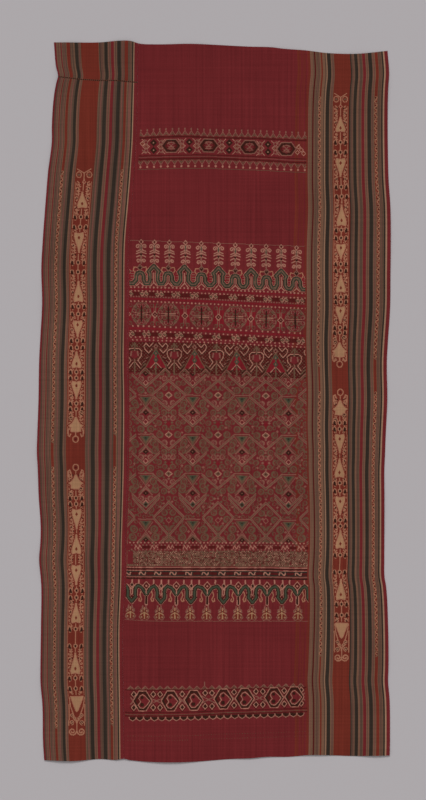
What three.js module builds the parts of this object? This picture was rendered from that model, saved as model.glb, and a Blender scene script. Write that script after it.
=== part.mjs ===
// A pua cloth laid out flat: a broad red length and a narrow striped length of cotton, sewn
// edge to edge, with a short striped piece sewn on at the head of the narrow length.
// Millimetres, +Z up. +Y points to the head end, +X to the red selvedge on the broad side.
// The cloth lies on z = 0 and its edges lift a little in soft ripples.
import * as THREE from 'three';

// Driving sizes of the whole cloth
const CLOTH_LENGTH = 2055;
const CLOTH_THICKNESS = 1.5;
const SEAM_GAP = 0.3;

// Facets across each length of cloth, and rows down it: a few in the head piece, the rest below
const BROAD_COLUMNS = 20;
const NARROW_COLUMNS = 7;
const HEAD_ROWS = 5;
const LOWER_ROWS = 54;
const HEAD_SHARE = 0.052;
// Share by which facets are drawn in towards the ends and edges, where the ripples are
const END_CROWDING = 0.35;

// The long edges and the long seam, measured from the middle line, at stations down from the head
const SIDE_STATIONS = {
  columns: ['left', 'seam', 'right'],
  rows: [
    { down: 0, left: -455.5, seam: -215.5, right: 495 },
    { down: 66, left: -450, seam: -217, right: 499.5 },
    { down: 97, left: -443.5, seam: -217.5, right: 497.5 },
    { down: 114, left: -448, seam: -217.5, right: 496.5 },
    { down: 150, left: -455, seam: -218, right: 495.5 },
    { down: 240, left: -461.5, seam: -220, right: 495.5 },
    { down: 285, left: -461.5, seam: -221.5, right: 496 },
    { down: 374, left: -472.5, seam: -227, right: 498 },
    { down: 453, left: -479, seam: -233, right: 503 },
    { down: 576, left: -488, seam: -243, right: 504 },
    { down: 644, left: -491.5, seam: -244.5, right: 503.5 },
    { down: 747, left: -489, seam: -245, right: 502.5 },
    { down: 850, left: -494.5, seam: -246, right: 496 },
    { down: 907, left: -497.5, seam: -246.5, right: 493 },
    { down: 1021, left: -499.5, seam: -245, right: 494 },
    { down: 1129, left: -503, seam: -245, right: 489.5 },
    { down: 1174, left: -504, seam: -245.5, right: 488 },
    { down: 1220, left: -501.5, seam: -246, right: 486 },
    { down: 1300, left: -499, seam: -248, right: 486 },
    { down: 1383, left: -493.5, seam: -250.5, right: 486 },
    { down: 1430, left: -494, seam: -252, right: 486 },
    { down: 1480, left: -497.5, seam: -252.5, right: 486 },
    { down: 1534, left: -493, seam: -253.5, right: 486.5 },
    { down: 1562, left: -491.5, seam: -254.5, right: 491 },
    { down: 1671, left: -492.5, seam: -259, right: 496.5 },
    { down: 1799, left: -494, seam: -259, right: 497.5 },
    { down: 1836, left: -493.5, seam: -258.5, right: 496.5 },
    { down: 1893, left: -488.5, seam: -258, right: 501 },
    { down: 2004, left: -486.5, seam: -257, right: 502 },
    { down: CLOTH_LENGTH, left: -483, seam: -256.5, right: 501 },
  ],
};

// The head edge: how far it dips below the head's highest point, at places across the cloth
const HEAD_EDGE = {
  columns: ['down'],
  rows: [
    { across: -456, down: 4.5 },
    { across: -327, down: 4.5 },
    { across: -267, down: 0 },
    { across: -236, down: 1 },
    { across: -213, down: 8 },
    { across: -170, down: 10 },
    { across: -62, down: 9 },
    { across: 12, down: 12 },
    { across: 100, down: 16.5 },
    { across: 163, down: 18.5 },
    { across: 200, down: 23 },
    { across: 263, down: 27.5 },
    { across: 325, down: 35 },
    { across: 405, down: 37.5 },
    { across: 496, down: 28.5 },
  ],
};

// The foot edge, in the same way, as its distance down from the head's highest point
const FOOT_EDGE = {
  columns: ['down'],
  rows: [
    { across: -483, down: 2049.5 },
    { across: -396, down: 2051.5 },
    { across: -324, down: 2046.5 },
    { across: -276, down: 2048.5 },
    { across: -257, down: 2045 },
    { across: -238, down: 2049.5 },
    { across: -148, down: 2055 },
    { across: -57, down: 2054 },
    { across: 46, down: 2046.5 },
    { across: 105, down: 2044 },
    { across: 149, down: 2040 },
    { across: 214, down: 2040 },
    { across: 268, down: 2035 },
    { across: 317, down: 2035 },
    { across: 388, down: 2037.5 },
    { across: 501, down: 2036 },
  ],
};

// The short seam between the head piece and the narrow length
const HEAD_SEAM = {
  columns: ['down'],
  rows: [
    { across: -444, down: 102 },
    { across: -390, down: 108.5 },
    { across: -317, down: 113 },
    { across: -281, down: 113 },
    { across: -232, down: 117.5 },
    { across: -217, down: 118.5 },
  ],
};

// Soft ripples that lift an edge off the surface: where along the edge, how high, how far the
// ripple spreads to each side of that place, and how far it reaches into the cloth
const EDGE_RIPPLES = [
  { edge: 'foot', at: -425, height: 5.5, spread: 95, reach: 120 },
  { edge: 'foot', at: -262, height: 2.5, spread: 50, reach: 70 },
  { edge: 'foot', at: -130, height: 4.5, spread: 120, reach: 105 },
  { edge: 'foot', at: 120, height: 2.5, spread: 90, reach: 80 },
  { edge: 'foot', at: 290, height: 3, spread: 75, reach: 75 },
  { edge: 'foot', at: 465, height: 4.5, spread: 75, reach: 90 },
  { edge: 'head', at: -400, height: 2.5, spread: 60, reach: 55 },
  { edge: 'head', at: -255, height: 4, spread: 65, reach: 75 },
  { edge: 'head', at: -60, height: 2.5, spread: 100, reach: 70 },
  { edge: 'head', at: 200, height: 2.5, spread: 90, reach: 70 },
  { edge: 'head', at: 405, height: 3.5, spread: 95, reach: 90 },
  { edge: 'left', at: 100, height: 4, spread: 60, reach: 80 },
  { edge: 'left', at: 330, height: 2.5, spread: 100, reach: 60 },
  { edge: 'left', at: 750, height: 2.5, spread: 120, reach: 55 },
  { edge: 'left', at: 1180, height: 3, spread: 130, reach: 60 },
  { edge: 'left', at: 1480, height: 3, spread: 90, reach: 60 },
  { edge: 'left', at: 1840, height: 2.5, spread: 100, reach: 60 },
  { edge: 'right', at: 150, height: 3, spread: 110, reach: 65 },
  { edge: 'right', at: 560, height: 2.5, spread: 140, reach: 60 },
  { edge: 'right', at: 1000, height: 2.5, spread: 110, reach: 60 },
  { edge: 'right', at: 1330, height: 3, spread: 140, reach: 65 },
  { edge: 'right', at: 1760, height: 2.5, spread: 120, reach: 60 },
];

// One smooth curve through each column of a table, read at any place along its key
function curvesThrough(table, key) {
  const places = table.rows.map((row) => row[key]);
  const values = table.rows.flatMap((row) => table.columns.map((column) => row[column]));
  const interpolant = new THREE.CubicInterpolant(places, values, table.columns.length);
  return (at) => {
    const found = interpolant.evaluate(THREE.MathUtils.clamp(at, places[0], places.at(-1)));
    return Object.fromEntries(table.columns.map((column, i) => [column, found[i]]));
  };
}

const sidesAt = curvesThrough(SIDE_STATIONS, 'down');
const headEdgeAt = curvesThrough(HEAD_EDGE, 'across');
const footEdgeAt = curvesThrough(FOOT_EDGE, 'across');
const headSeamAt = curvesThrough(HEAD_SEAM, 'across');

// A soft hump: 1 at its middle, 0 from one spread away on
function hump(distance, spread) {
  const share = Math.min(Math.abs(distance) / spread, 1);
  return 0.5 * (1 + Math.cos(Math.PI * share));
}

// How far the cloth's underside is off the surface at a place
function liftAt(across, down) {
  const sides = sidesAt(down);
  const inFrom = {
    head: down - headEdgeAt(across).down,
    foot: footEdgeAt(across).down - down,
    left: across - sides.left,
    right: sides.right - across,
  };
  let lift = 0;
  for (const ripple of EDGE_RIPPLES) {
    const along = ripple.edge === 'head' || ripple.edge === 'foot' ? across : down;
    const inward = hump(Math.max(inFrom[ripple.edge], 0), ripple.reach);
    lift += ripple.height * hump(along - ripple.at, ripple.spread) * inward;
  }
  return lift;
}

// Even steps from 0 to 1, drawn in towards both ends
function crowded(step) {
  return step - (END_CROWDING * Math.sin(2 * Math.PI * step)) / (2 * Math.PI);
}

// How far down the cloth a row of facets lies, as a share of its length. All three pieces use
// the same rows, so their edges follow each other along the long seam.
function rowShare(row) {
  if (row <= HEAD_ROWS) {
    return (HEAD_SHARE * row) / HEAD_ROWS;
  }
  return HEAD_SHARE + (1 - HEAD_SHARE) * crowded((row - HEAD_ROWS) / LOWER_ROWS);
}

// Turns a unit box into a thin sheet. edges(down) gives its two long edges, and ends may move
// its first or its last row to a seam.
function sheetGeometry(columns, firstRow, lastRow, edges, ends) {
  const rows = lastRow - firstRow;
  const geometry = new THREE.BoxGeometry(1, 1, 1, columns, rows, 1);
  const points = geometry.getAttribute('position');
  for (let i = 0; i < points.count; i += 1) {
    const column = Math.round((points.getX(i) + 0.5) * columns);
    const row = firstRow + Math.round((0.5 - points.getY(i)) * rows);
    const onTop = points.getZ(i) > 0;
    const nominal = CLOTH_LENGTH * rowShare(row);
    const [nearEdge, farEdge] = edges(nominal);
    const across = THREE.MathUtils.lerp(nearEdge, farEdge, crowded(column / columns));
    let down = THREE.MathUtils.lerp(
      headEdgeAt(across).down,
      footEdgeAt(across).down,
      rowShare(row),
    );
    if (row === firstRow && ends.first) {
      down = ends.first(across);
    }
    if (row === lastRow && ends.last) {
      down = ends.last(across);
    }
    const lift = liftAt(across, down);
    points.setXYZ(i, across, CLOTH_LENGTH / 2 - down, onTop ? lift + CLOTH_THICKNESS : lift);
  }
  geometry.computeVertexNormals();
  return geometry;
}

const narrowEdges = (down) => [sidesAt(down).left, sidesAt(down).seam - SEAM_GAP / 2];
const broadEdges = (down) => [sidesAt(down).seam + SEAM_GAP / 2, sidesAt(down).right];
const aboveHeadSeam = (across) => headSeamAt(across).down - SEAM_GAP / 2;
const belowHeadSeam = (across) => headSeamAt(across).down + SEAM_GAP / 2;

const ALL_ROWS = HEAD_ROWS + LOWER_ROWS;
const RED_FIELD = 0x62211f;
const STRIPES_FROM_AFAR = 0x6b4836;
const cotton = (color) => new THREE.MeshStandardMaterial({ color, roughness: 0.95, metalness: 0 });

// The broad length: a red field with woven bands, and stripes down its right-hand side
const mainPanel = new THREE.Mesh(
  sheetGeometry(BROAD_COLUMNS, 0, ALL_ROWS, broadEdges, {}),
  cotton(RED_FIELD),
);
mainPanel.name = 'main_panel';

// The narrow striped length
const sidePanel = new THREE.Mesh(
  sheetGeometry(NARROW_COLUMNS, HEAD_ROWS, ALL_ROWS, narrowEdges, { first: belowHeadSeam }),
  cotton(STRIPES_FROM_AFAR),
);
sidePanel.name = 'side_panel';

// The short piece that makes the narrow length as long as the broad one
const sidePanelHead = new THREE.Mesh(
  sheetGeometry(NARROW_COLUMNS, 0, HEAD_ROWS, narrowEdges, { last: aboveHeadSeam }),
  cotton(STRIPES_FROM_AFAR),
);
sidePanelHead.name = 'side_panel_head';

const cloth = new THREE.Group();
cloth.add(mainPanel, sidePanel, sidePanelHead);

// The origin is under the middle of the cloth's box
const middle = new THREE.Box3().setFromObject(cloth).getCenter(new THREE.Vector3());
cloth.position.set(-middle.x, -middle.y, 0);

export default cloth;
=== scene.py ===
# %% [markdown]
# # A pua cloth, laid out flat
# The cloth is two lengths of handspun cotton sewn edge to edge: a broad red one with bands of
# ornament, and a narrow striped one, made longer with a short piece at its head. This lesson
# puts the woven looks on three thin sheets, in the frame that the CAD model gives.

# %% Load the frame
import copy
import math

import bmesh
import bpy
import numpy as np
from mathutils import Matrix


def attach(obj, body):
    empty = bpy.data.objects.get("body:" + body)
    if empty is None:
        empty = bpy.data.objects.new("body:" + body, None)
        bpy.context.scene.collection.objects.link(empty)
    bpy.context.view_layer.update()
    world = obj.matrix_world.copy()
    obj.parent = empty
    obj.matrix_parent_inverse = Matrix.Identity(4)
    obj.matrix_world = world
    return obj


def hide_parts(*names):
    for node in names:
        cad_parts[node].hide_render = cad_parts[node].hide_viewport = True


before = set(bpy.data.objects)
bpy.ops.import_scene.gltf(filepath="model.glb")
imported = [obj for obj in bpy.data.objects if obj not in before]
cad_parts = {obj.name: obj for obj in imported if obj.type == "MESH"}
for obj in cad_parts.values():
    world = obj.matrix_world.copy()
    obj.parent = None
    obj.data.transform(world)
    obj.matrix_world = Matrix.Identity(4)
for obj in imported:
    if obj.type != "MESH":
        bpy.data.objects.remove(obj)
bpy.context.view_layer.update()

# %% [markdown]
# ## Sizes and edges
# Cloth lies where its edges lie, so the edges are measured first: both long edges, the seam,
# the head, the foot and the short head seam. They are the same tables as in the CAD source,
# in millimetres, across from the middle line and down from the highest point of the head.

# %% Sizes of the cloth
CLOTH_LENGTH = 2055.0
CLOTH_THICKNESS = 1.5
SEAM_GAP = 0.3
HEAD_SHARE = 0.052
MM = 0.001

SIDE_STATIONS = [
    # down, left edge, long seam, right edge
    (0, -455.5, -215.5, 495), (66, -450, -217, 499.5), (97, -443.5, -217.5, 497.5),
    (114, -448, -217.5, 496.5), (150, -455, -218, 495.5), (240, -461.5, -220, 495.5),
    (285, -461.5, -221.5, 496), (374, -472.5, -227, 498), (453, -479, -233, 503),
    (576, -488, -243, 504), (644, -491.5, -244.5, 503.5), (747, -489, -245, 502.5),
    (850, -494.5, -246, 496), (907, -497.5, -246.5, 493), (1021, -499.5, -245, 494),
    (1129, -503, -245, 489.5), (1174, -504, -245.5, 488), (1220, -501.5, -246, 486),
    (1300, -499, -248, 486), (1383, -493.5, -250.5, 486), (1430, -494, -252, 486),
    (1480, -497.5, -252.5, 486), (1534, -493, -253.5, 486.5), (1562, -491.5, -254.5, 491),
    (1671, -492.5, -259, 496.5), (1799, -494, -259, 497.5), (1836, -493.5, -258.5, 496.5),
    (1893, -488.5, -258, 501), (2004, -486.5, -257, 502), (2055, -483, -256.5, 501),
]
HEAD_EDGE = [
    # across, down
    (-456, 4.5), (-327, 4.5), (-267, 0), (-236, 1), (-213, 8), (-170, 10), (-62, 9), (12, 12),
    (100, 16.5), (163, 18.5), (200, 23), (263, 27.5), (325, 35), (405, 37.5), (496, 28.5),
]
FOOT_EDGE = [
    (-483, 2049.5), (-396, 2051.5), (-324, 2046.5), (-276, 2048.5), (-257, 2045),
    (-238, 2049.5), (-148, 2055), (-57, 2054), (46, 2046.5), (105, 2044), (149, 2040),
    (214, 2040), (268, 2035), (317, 2035), (388, 2037.5), (501, 2036),
]
BORDER_SWELL = [
    # down, width of the right border as a share of its usual width
    (0, 0.975), (140, 0.993), (310, 1.006), (450, 1.03), (580, 1.053), (740, 1.045), (840, 1.026),
    (910, 1.0), (1080, 0.988), (1170, 0.96), (1340, 0.935), (1440, 0.933), (1600, 0.968),
    (1760, 1.0), (1935, 1.018), (2055, 1.02),
]
HEAD_SEAM = [(-444, 102), (-390, 108.5), (-317, 113), (-281, 113), (-232, 117.5), (-217, 118.5)]
EDGE_RIPPLES = [
    # edge, at, height, spread along it, reach into the cloth
    ("foot", -425, 5.5, 95, 120), ("foot", -262, 2.5, 50, 70), ("foot", -130, 4.5, 120, 105),
    ("foot", 120, 2.5, 90, 80), ("foot", 290, 3, 75, 75), ("foot", 465, 4.5, 75, 90),
    ("head", -400, 2.5, 60, 55), ("head", -255, 4, 65, 75), ("head", -60, 2.5, 100, 70),
    ("head", 200, 2.5, 90, 70), ("head", 405, 3.5, 95, 90), ("left", 100, 4, 60, 80),
    ("left", 330, 2.5, 100, 60), ("left", 750, 2.5, 120, 55), ("left", 1180, 3, 130, 60),
    ("left", 1480, 3, 90, 60), ("left", 1840, 2.5, 100, 60), ("right", 150, 3, 110, 65),
    ("right", 560, 2.5, 140, 60), ("right", 1000, 2.5, 110, 60), ("right", 1330, 3, 140, 65),
    ("right", 1760, 2.5, 120, 60),
]
print("edge stations", len(SIDE_STATIONS), "ripples", len(EDGE_RIPPLES))

# %% [markdown]
# ## Smooth edges
# A selvedge has no corners, so a cubic runs through each table. It is the same cubic that the
# CAD source uses, because the new sheets have to end where the solids end.


# %% Curves through the tables
def curve_through(places, values):
    """A smooth curve through the values, read at any place or array of places"""
    t = np.array(places, float)
    v = np.array(values, float)

    def read(at):
        at = np.clip(np.asarray(at, float), t[0], t[-1])
        k = np.clip(np.searchsorted(t, at, side="right") - 1, 0, len(t) - 2)
        before = np.where(k > 0, k - 1, 1)
        after = np.where(k + 2 < len(t), k + 2, k)
        t0, t1 = t[k], t[k + 1]
        t_before = np.where(k > 0, t[before], t[k + 1])
        t_after = np.where(k + 2 < len(t), t[after], t[k])
        half = 0.5 * (t1 - t0)
        pull_before = half / (t0 - t_before)
        pull_after = half / (t_after - t1)
        p = (at - t0) / (t1 - t0)
        p2, p3 = p * p, p * p * p
        share_before = -pull_before * p3 + 2 * pull_before * p2 - pull_before * p
        share_0 = (1 + pull_before) * p3 + (-1.5 - 2 * pull_before) * p2
        share_0 = share_0 + (-0.5 + pull_before) * p + 1
        share_1 = (-1 - pull_after) * p3 + (1.5 + pull_after) * p2 + 0.5 * p
        share_after = pull_after * p3 - pull_after * p2
        v_before = np.where(k > 0, v[before], v[k + 1])
        v_after = np.where(k + 2 < len(t), v[after], v[k])
        found = share_before * v_before + share_0 * v[k] + share_1 * v[k + 1]
        return found + share_after * v_after

    return read


def column_curve(table, column=1):
    """The curve through one column of a table, read by its first column"""
    return curve_through([row[0] for row in table], [row[column] for row in table])


left_at, seam_at, right_at = (column_curve(SIDE_STATIONS, column) for column in (1, 2, 3))
head_at, foot_at = column_curve(HEAD_EDGE), column_curve(FOOT_EDGE)
head_seam_at, border_swell = column_curve(HEAD_SEAM), column_curve(BORDER_SWELL)
print("seam half way down at", round(float(seam_at(1027)), 1), "mm")


# %% Ripples that lift the edges
def hump(distance, spread):
    """1 in the middle of a hump, 0 from one spread away on"""
    return 0.5 * (1 + np.cos(math.pi * np.minimum(np.abs(distance) / spread, 1)))


def lift_at(across, down):
    """How far the underside of the cloth is off the surface"""
    inward = {
        "head": down - head_at(across),
        "foot": foot_at(across) - down,
        "left": across - left_at(down),
        "right": right_at(down) - across,
    }
    lift = np.zeros(np.shape(across))
    for edge, at, height, spread, reach in EDGE_RIPPLES:
        along = across if edge in ("head", "foot") else down
        lift += height * hump(along - at, spread) * hump(np.maximum(inward[edge], 0), reach)
    return lift


print("lift at the left foot corner", round(float(lift_at(-425.0, 2040.0)), 2), "mm")

# %% [markdown]
# ## How the threads lie
# The warp runs down the cloth and the weft across it, and neither is quite straight. Each
# length gets its own thread co-ordinates: a share across, from its left edge, and a share
# down, from its head. In the broad length the striped border keeps its width, and the red
# field takes up the rest, as it does in the real cloth.

# %% Thread co-ordinates of the lengths
BORDER_WIDTH = 227.0
FIELD_BLOCKS = 72
BORDER_BLOCKS = 32
NARROW_BLOCKS = 34
FIELD_SHARE = FIELD_BLOCKS / (FIELD_BLOCKS + BORDER_BLOCKS)
SETTLING_ROUNDS = 3


def mix(a, b, share):
    return a + (b - a) * share


class BroadLength:
    """The broad length, from the long seam to the red selvedge"""

    blocks_across, blocks_down = FIELD_BLOCKS + BORDER_BLOCKS, 360

    @staticmethod
    def edges(nominal):
        """The seam, the near edge of the striped border and the selvedge"""
        seam, right = seam_at(nominal) + SEAM_GAP / 2, right_at(nominal)
        return seam, right - BORDER_WIDTH * border_swell(nominal), right

    @classmethod
    def place(cls, u, t):
        seam, border, right = cls.edges(CLOTH_LENGTH * t)
        in_field = mix(seam, border, u / FIELD_SHARE)
        in_border = mix(border, right, (u - FIELD_SHARE) / (1 - FIELD_SHARE))
        across = np.where(u < FIELD_SHARE, in_field, in_border)
        return across, mix(head_at(across), foot_at(across), t)

    @classmethod
    def threads(cls, across, down):
        t = (down - head_at(across)) / (foot_at(across) - head_at(across))
        seam, border, right = cls.edges(CLOTH_LENGTH * t)
        in_field = FIELD_SHARE * (across - seam) / (border - seam)
        in_border = FIELD_SHARE + (1 - FIELD_SHARE) * (across - border) / (right - border)
        return np.where(across < border, in_field, in_border), t


def nominal_at(across, down):
    """How far down the tables of the side edges a place lies"""
    head = head_at(across)
    return CLOTH_LENGTH * (down - head) / (foot_at(across) - head)


class NarrowLength:
    """The narrow length, from the head seam to the foot"""

    blocks_across, blocks_down = NARROW_BLOCKS, 340
    span = (HEAD_SHARE, 1.0)

    @staticmethod
    def ends(across):
        return head_seam_at(across) + SEAM_GAP / 2, foot_at(across)

    @classmethod
    def place(cls, u, t):
        nominal = CLOTH_LENGTH * mix(*cls.span, t)
        for _ in range(SETTLING_ROUNDS):
            across = mix(left_at(nominal), seam_at(nominal) - SEAM_GAP / 2, u)
            down = mix(*cls.ends(across), t)
            nominal = nominal_at(across, down)
        return across, down

    @classmethod
    def threads(cls, across, down):
        nominal = nominal_at(across, down)
        left, seam = left_at(nominal), seam_at(nominal) - SEAM_GAP / 2
        first, last = cls.ends(across)
        return (across - left) / (seam - left), (down - first) / (last - first)


class HeadPiece(NarrowLength):
    """The short piece above the head seam"""

    blocks_down = 19
    span = (0.0, HEAD_SHARE)

    @staticmethod
    def ends(across):
        return head_at(across), head_seam_at(across) - SEAM_GAP / 2


print("field takes", round(FIELD_SHARE, 3), "of the broad length")

# %% [markdown]
# ## The thread chart
# Ornament in such a cloth is wrapped in thread by thread, from a chart that the weaver knows
# by heart. So the looks are made the same way: a chart of small cells, each with the number
# of a thread colour, worked by short routines that lay lines, fills and dots of thread. A
# painted picture is never needed, and a motif is charted once and repeated.

# %% Thread colours
CELLS_ACROSS, CELLS_DOWN = 5, 4
PX = 2.85
MIDDLE_X, HEAD_Y = 213.8, 40.9
THREADS = [
    "field", "orange", "warp_tan", "warp_grey", "warp_rose", "cream", "warp_dark",
    "maroon", "dark", "olive", "green", "dusk", "ecru", "tan", "gold", "bright",
]
INK = {name: number for number, name in enumerate(THREADS)}
FIELD_STEPS = np.linspace(122, 312, 24)
print(len(THREADS), "threads, a pixel is", PX, "mm")


# %% Outlines about a middle
def diamond(x, y, half_width, half_height=None):
    half_height = half_height or half_width
    return [(x - half_width, y), (x, y - half_height), (x + half_width, y), (x, y + half_height)]


def box(left, top, right, low):
    return [(left, top), (right, top), (right, low), (left, low)]


def whole(shape):
    """Half an outline and its mirror"""
    return shape + [(-dx, dy) for dx, dy in reversed(shape)]


def arch(x, side):
    """Both sides of a turn of a line, from its left foot to its right"""
    return [(x - dx, y) for dx, y in reversed(side)] + [(x + dx, y) for dx, y in side[1:]]


print("a box has", len(box(0, 0, 1, 1)), "corners")


# %% [markdown]
# ### Working the chart
# A motif is worked about its own middle. So the chart can be picked up at any place, and
# mirrored there: `at` gives the same cells with another middle, `halves` and `quarters` give
# it once for each mirror image, and `on` puts a motif on a weft thread that sags.

# %% The chart and its stitches
class Chart:
    """The thread chart of one length, worked in pixels of the photograph's frame"""

    def __init__(self, length):
        self.length = length
        self.columns = length.blocks_across * CELLS_ACROSS
        self.rows = length.blocks_down * CELLS_DOWN
        self.inks = np.zeros((self.rows, self.columns), int)
        self.limit = (0, self.columns)
        self.middle, self.ways = np.zeros(2), np.ones(2)

    def at(self, x, y, side=1, flip=1):
        there = copy.copy(self)
        there.middle = self.middle + self.ways * (x, y)
        there.ways = self.ways * (side, flip)
        return there

    def halves(self):
        return [self.at(0, 0, side) for side in (-1, 1)]

    def quarters(self):
        return [self.at(0, 0, side, flip) for flip in (-1, 1) for side in (-1, 1)]

    def cells(self, points):
        spots = (self.middle + self.ways * np.array(points) - (MIDDLE_X, HEAD_Y)) * PX
        u, t = self.length.threads(spots[:, 0], spots[:, 1])
        return np.stack([u * self.columns, t * self.rows], axis=1)

    def window(self, spots, margin):
        """The middles of the cells round some spots, and the inks there"""
        low = np.floor(spots.min(axis=0) - margin)
        high = np.ceil(spots.max(axis=0) + margin)
        left, top = np.maximum(low, (self.limit[0], 0)).astype(int)
        right, foot = np.clip(high, 0, (self.limit[1], self.rows)).astype(int)
        x, y = np.meshgrid(np.arange(left, right) + 0.5, np.arange(top, foot) + 0.5)
        return x, y, self.inks[top:foot, left:right]

    def line(self, points, ink, width=0.9):
        """A run of thread through the points, its width in pixels"""
        spots = self.cells(points)
        radius = max(width, 0.5)
        x, y, patch = self.window(spots, radius + 1)
        for (ax, ay), (bx, by) in zip(spots[:-1], spots[1:]):
            run = (bx - ax) ** 2 + (by - ay) ** 2 + 1e-9
            along = np.clip(((x - ax) * (bx - ax) + (y - ay) * (by - ay)) / run, 0, 1)
            away = np.hypot(x - ax - along * (bx - ax), y - ay - along * (by - ay))
            patch[away <= radius] = INK[ink]

    def both(self, points, ink, width=0.9):
        for half in self.halves():
            half.line(points, ink, width)

    def loop(self, points, ink, width=0.9):
        self.line([*points, points[0]], ink, width)

    def fill(self, points, ink):
        spots = self.cells(points)
        x, y, patch = self.window(spots, 1)
        inside = np.zeros(x.shape, bool)
        for (ax, ay), (bx, by) in zip(spots, np.roll(spots, -1, axis=0)):
            if ay != by:
                crosses = (ay > y) != (by > y)
                inside ^= crosses & (x < (bx - ax) * (y - ay) / (by - ay) + ax)
        patch[inside] = INK[ink]

    def dot(self, x, y, ink, radius=0.8):
        self.line([(x, y), (x, y)], ink, 2 * radius)

    def curl(self, x, y, radius, turns, start, ink, width):
        """A spiral of thread from its outer end to its eye"""
        share = np.linspace(0, 1, max(int(abs(turns) * 10), 6) + 1)
        angle = math.radians(start) + share * turns * 2 * math.pi
        reach = radius * (1 - 0.8 * share)
        spiral = np.stack([x + reach * np.cos(angle), y + reach * np.sin(angle)], axis=1)
        self.line(spiral, ink, width)

    def band(self, *keys):
        """The chart along wefts that sag: a place across, and how far down, in each key"""
        there = copy.copy(self)
        there.places, there.sags = zip(*keys)
        return there

    def sag(self, x):
        return float(np.interp(x, self.places, self.sags))

    def along(self, points):
        return [(x, y + self.sag(x)) for x, y in points]

    def on(self, x, y):
        return self.at(x, y + self.sag(x))

    def weft(self, y, ink, width=0.8):
        self.line(self.along([(x, y) for x in FIELD_STEPS]), ink, width)

    def block(self, top, low, ink):
        """A filled band whose edges sag with the weft"""
        there = [(x, top) for x in FIELD_STEPS] + [(x, low) for x in FIELD_STEPS[::-1]]
        self.fill(self.along(there), ink)

    def dots(self, y, pitch, first, ink, radius, last=306):
        for x in np.arange(first, last, pitch):
            self.on(x, y).dot(0, 0, ink, radius)


print("a chart keeps one colour number for each cell")

# %% A chart for each length
charts = {
    "broad_length": Chart(BroadLength),
    "narrow_length": Chart(NarrowLength),
    "narrow_head": Chart(HeadPiece),
}
for name, chart in charts.items():
    print(name, "chart of", chart.columns, "by", chart.rows, "cells")


# %% Small shapes that the motifs share
def ring(spot, x, y, half_width, half_height, core, thread="ecru", width=0.8):
    """An open diamond"""
    points = diamond(x, y, half_width, half_height)
    spot.fill(points, core)
    spot.loop(points, thread, width)


def oval(spot, x, y, across, down, core, width=1.0):
    turns = np.linspace(0, 2 * math.pi, 14, endpoint=False)
    points = np.stack([x + across * np.cos(turns), y + down * np.sin(turns)], axis=1)
    spot.fill(points, core)
    spot.loop(points, "tan", width)


def gable(spot, half_width, feet, point, ink, width):
    spot.line([(-half_width, feet), (0, point), (half_width, feet)], ink, width)


def scroll(spot, x, y, radius):
    """A round scroll: a dark disc with a curl of thread on it"""
    spot.dot(x, y, "dark", radius * 0.8)
    spot.curl(x, y, radius, 1.3, 90, "tan", 0.9)


def close_scroll(spot, x, y, radius, thread="olive", side=1, flip=1):
    """A scroll of thick thread: a disc, cut by a thin curl of the ground"""
    there = spot.at(x, y, side, flip)
    there.dot(0, 0, thread, radius)
    there.curl(0, 0, radius * 0.66, 1.2, -90, "field", 0.8)


print("shared shapes ready")

# %% [markdown]
# ## Warp stripes
# Stripes are made on the warping frame: so many ends of one colour, then so many of the next.
# Both lengths were cut from such a warp, so one rule serves all: a table of stripe edges.
# Ends of undyed and brown thread alternate in the tan stripes, so these get thin streaks.
# The last row of the head piece and the first of the narrow length are dark: painted shade where the
# turned edge of the head seam lies.

# %% Warp stripes of the borders
BORDER_STRIPES = [
    # first and last edge in pixels from the field, thread
    (0.0, 4.2, "pale tans"), (4.2, 5.6, "maroon"), (5.6, 10.1, "tans"), (10.1, 13.1, "rust"),
    (13.1, 17.5, "light tans"), (17.5, 20.9, "warp_dark"), (20.9, 24.4, "tans"),
    (24.4, 40.8, "orange"), (40.8, 45.4, "dark tans"), (45.4, 48.5, "warp_dark"),
    (48.5, 53.2, "tans"), (53.2, 56.2, "field"), (56.2, 59.3, "tans"),
    (59.3, 62.8, "warp_dark"), (62.8, 66.2, "tans"), (66.2, 69.9, "rust"),
    (69.9, 73.4, "tans"), (73.4, 74.8, "warp_dark"), (74.8, 76.1, "cream"),
    (76.1, 79.8, "field"),
]
BORDER_PIXELS = 79.8
NARROW_STRIPES = [
    # first and last edge as shares of the width, thread
    (0.0, 0.024, "field"), (0.024, 0.074, "tans"), (0.074, 0.09, "field"),
    (0.09, 0.146, "tans"), (0.146, 0.187, "rust"), (0.187, 0.245, "tans"),
    (0.245, 0.282, "warp_dark"), (0.282, 0.32, "tans"), (0.32, 0.527, "orange"),
    (0.527, 0.602, "dark tans"), (0.602, 0.636, "warp_dark"), (0.636, 0.676, "tans"),
    (0.676, 0.712, "field"), (0.712, 0.75, "tans"), (0.75, 0.793, "warp_dark"),
    (0.793, 0.839, "tans"), (0.839, 0.881, "rust"), (0.881, 0.928, "tans"),
    (0.928, 0.945, "warp_dark"), (0.945, 0.961, "cream"), (0.961, 1.0, "field"),
]
TAN_ENDS = {
    # threads at the edges of the stripe, and threads along its middle
    "tans": (["warp_grey", "warp_tan", "warp_grey", "warp_tan"], ["warp_rose", "warp_grey"]),
    "dark tans": (["warp_grey", "warp_tan", "warp_grey", "warp_dark"], ["warp_rose", "warp_grey"]),
    "pale tans": (["warp_tan", "warp_tan", "warp_grey"], ["warp_rose", "warp_tan"]),
    "light tans": (["warp_tan", "warp_tan", "cream"], ["warp_tan", "warp_grey"]),
    "rust": (["orange", "orange", "orange", "warp_tan"], ["orange"]),
}
FIELD_COLUMNS = FIELD_BLOCKS * CELLS_ACROSS
MIXED_COLUMNS, MIXED_SHARE = 28, 0.4
STRIPE_EDGE = 0.3
warping = np.random.default_rng(11)


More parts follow.
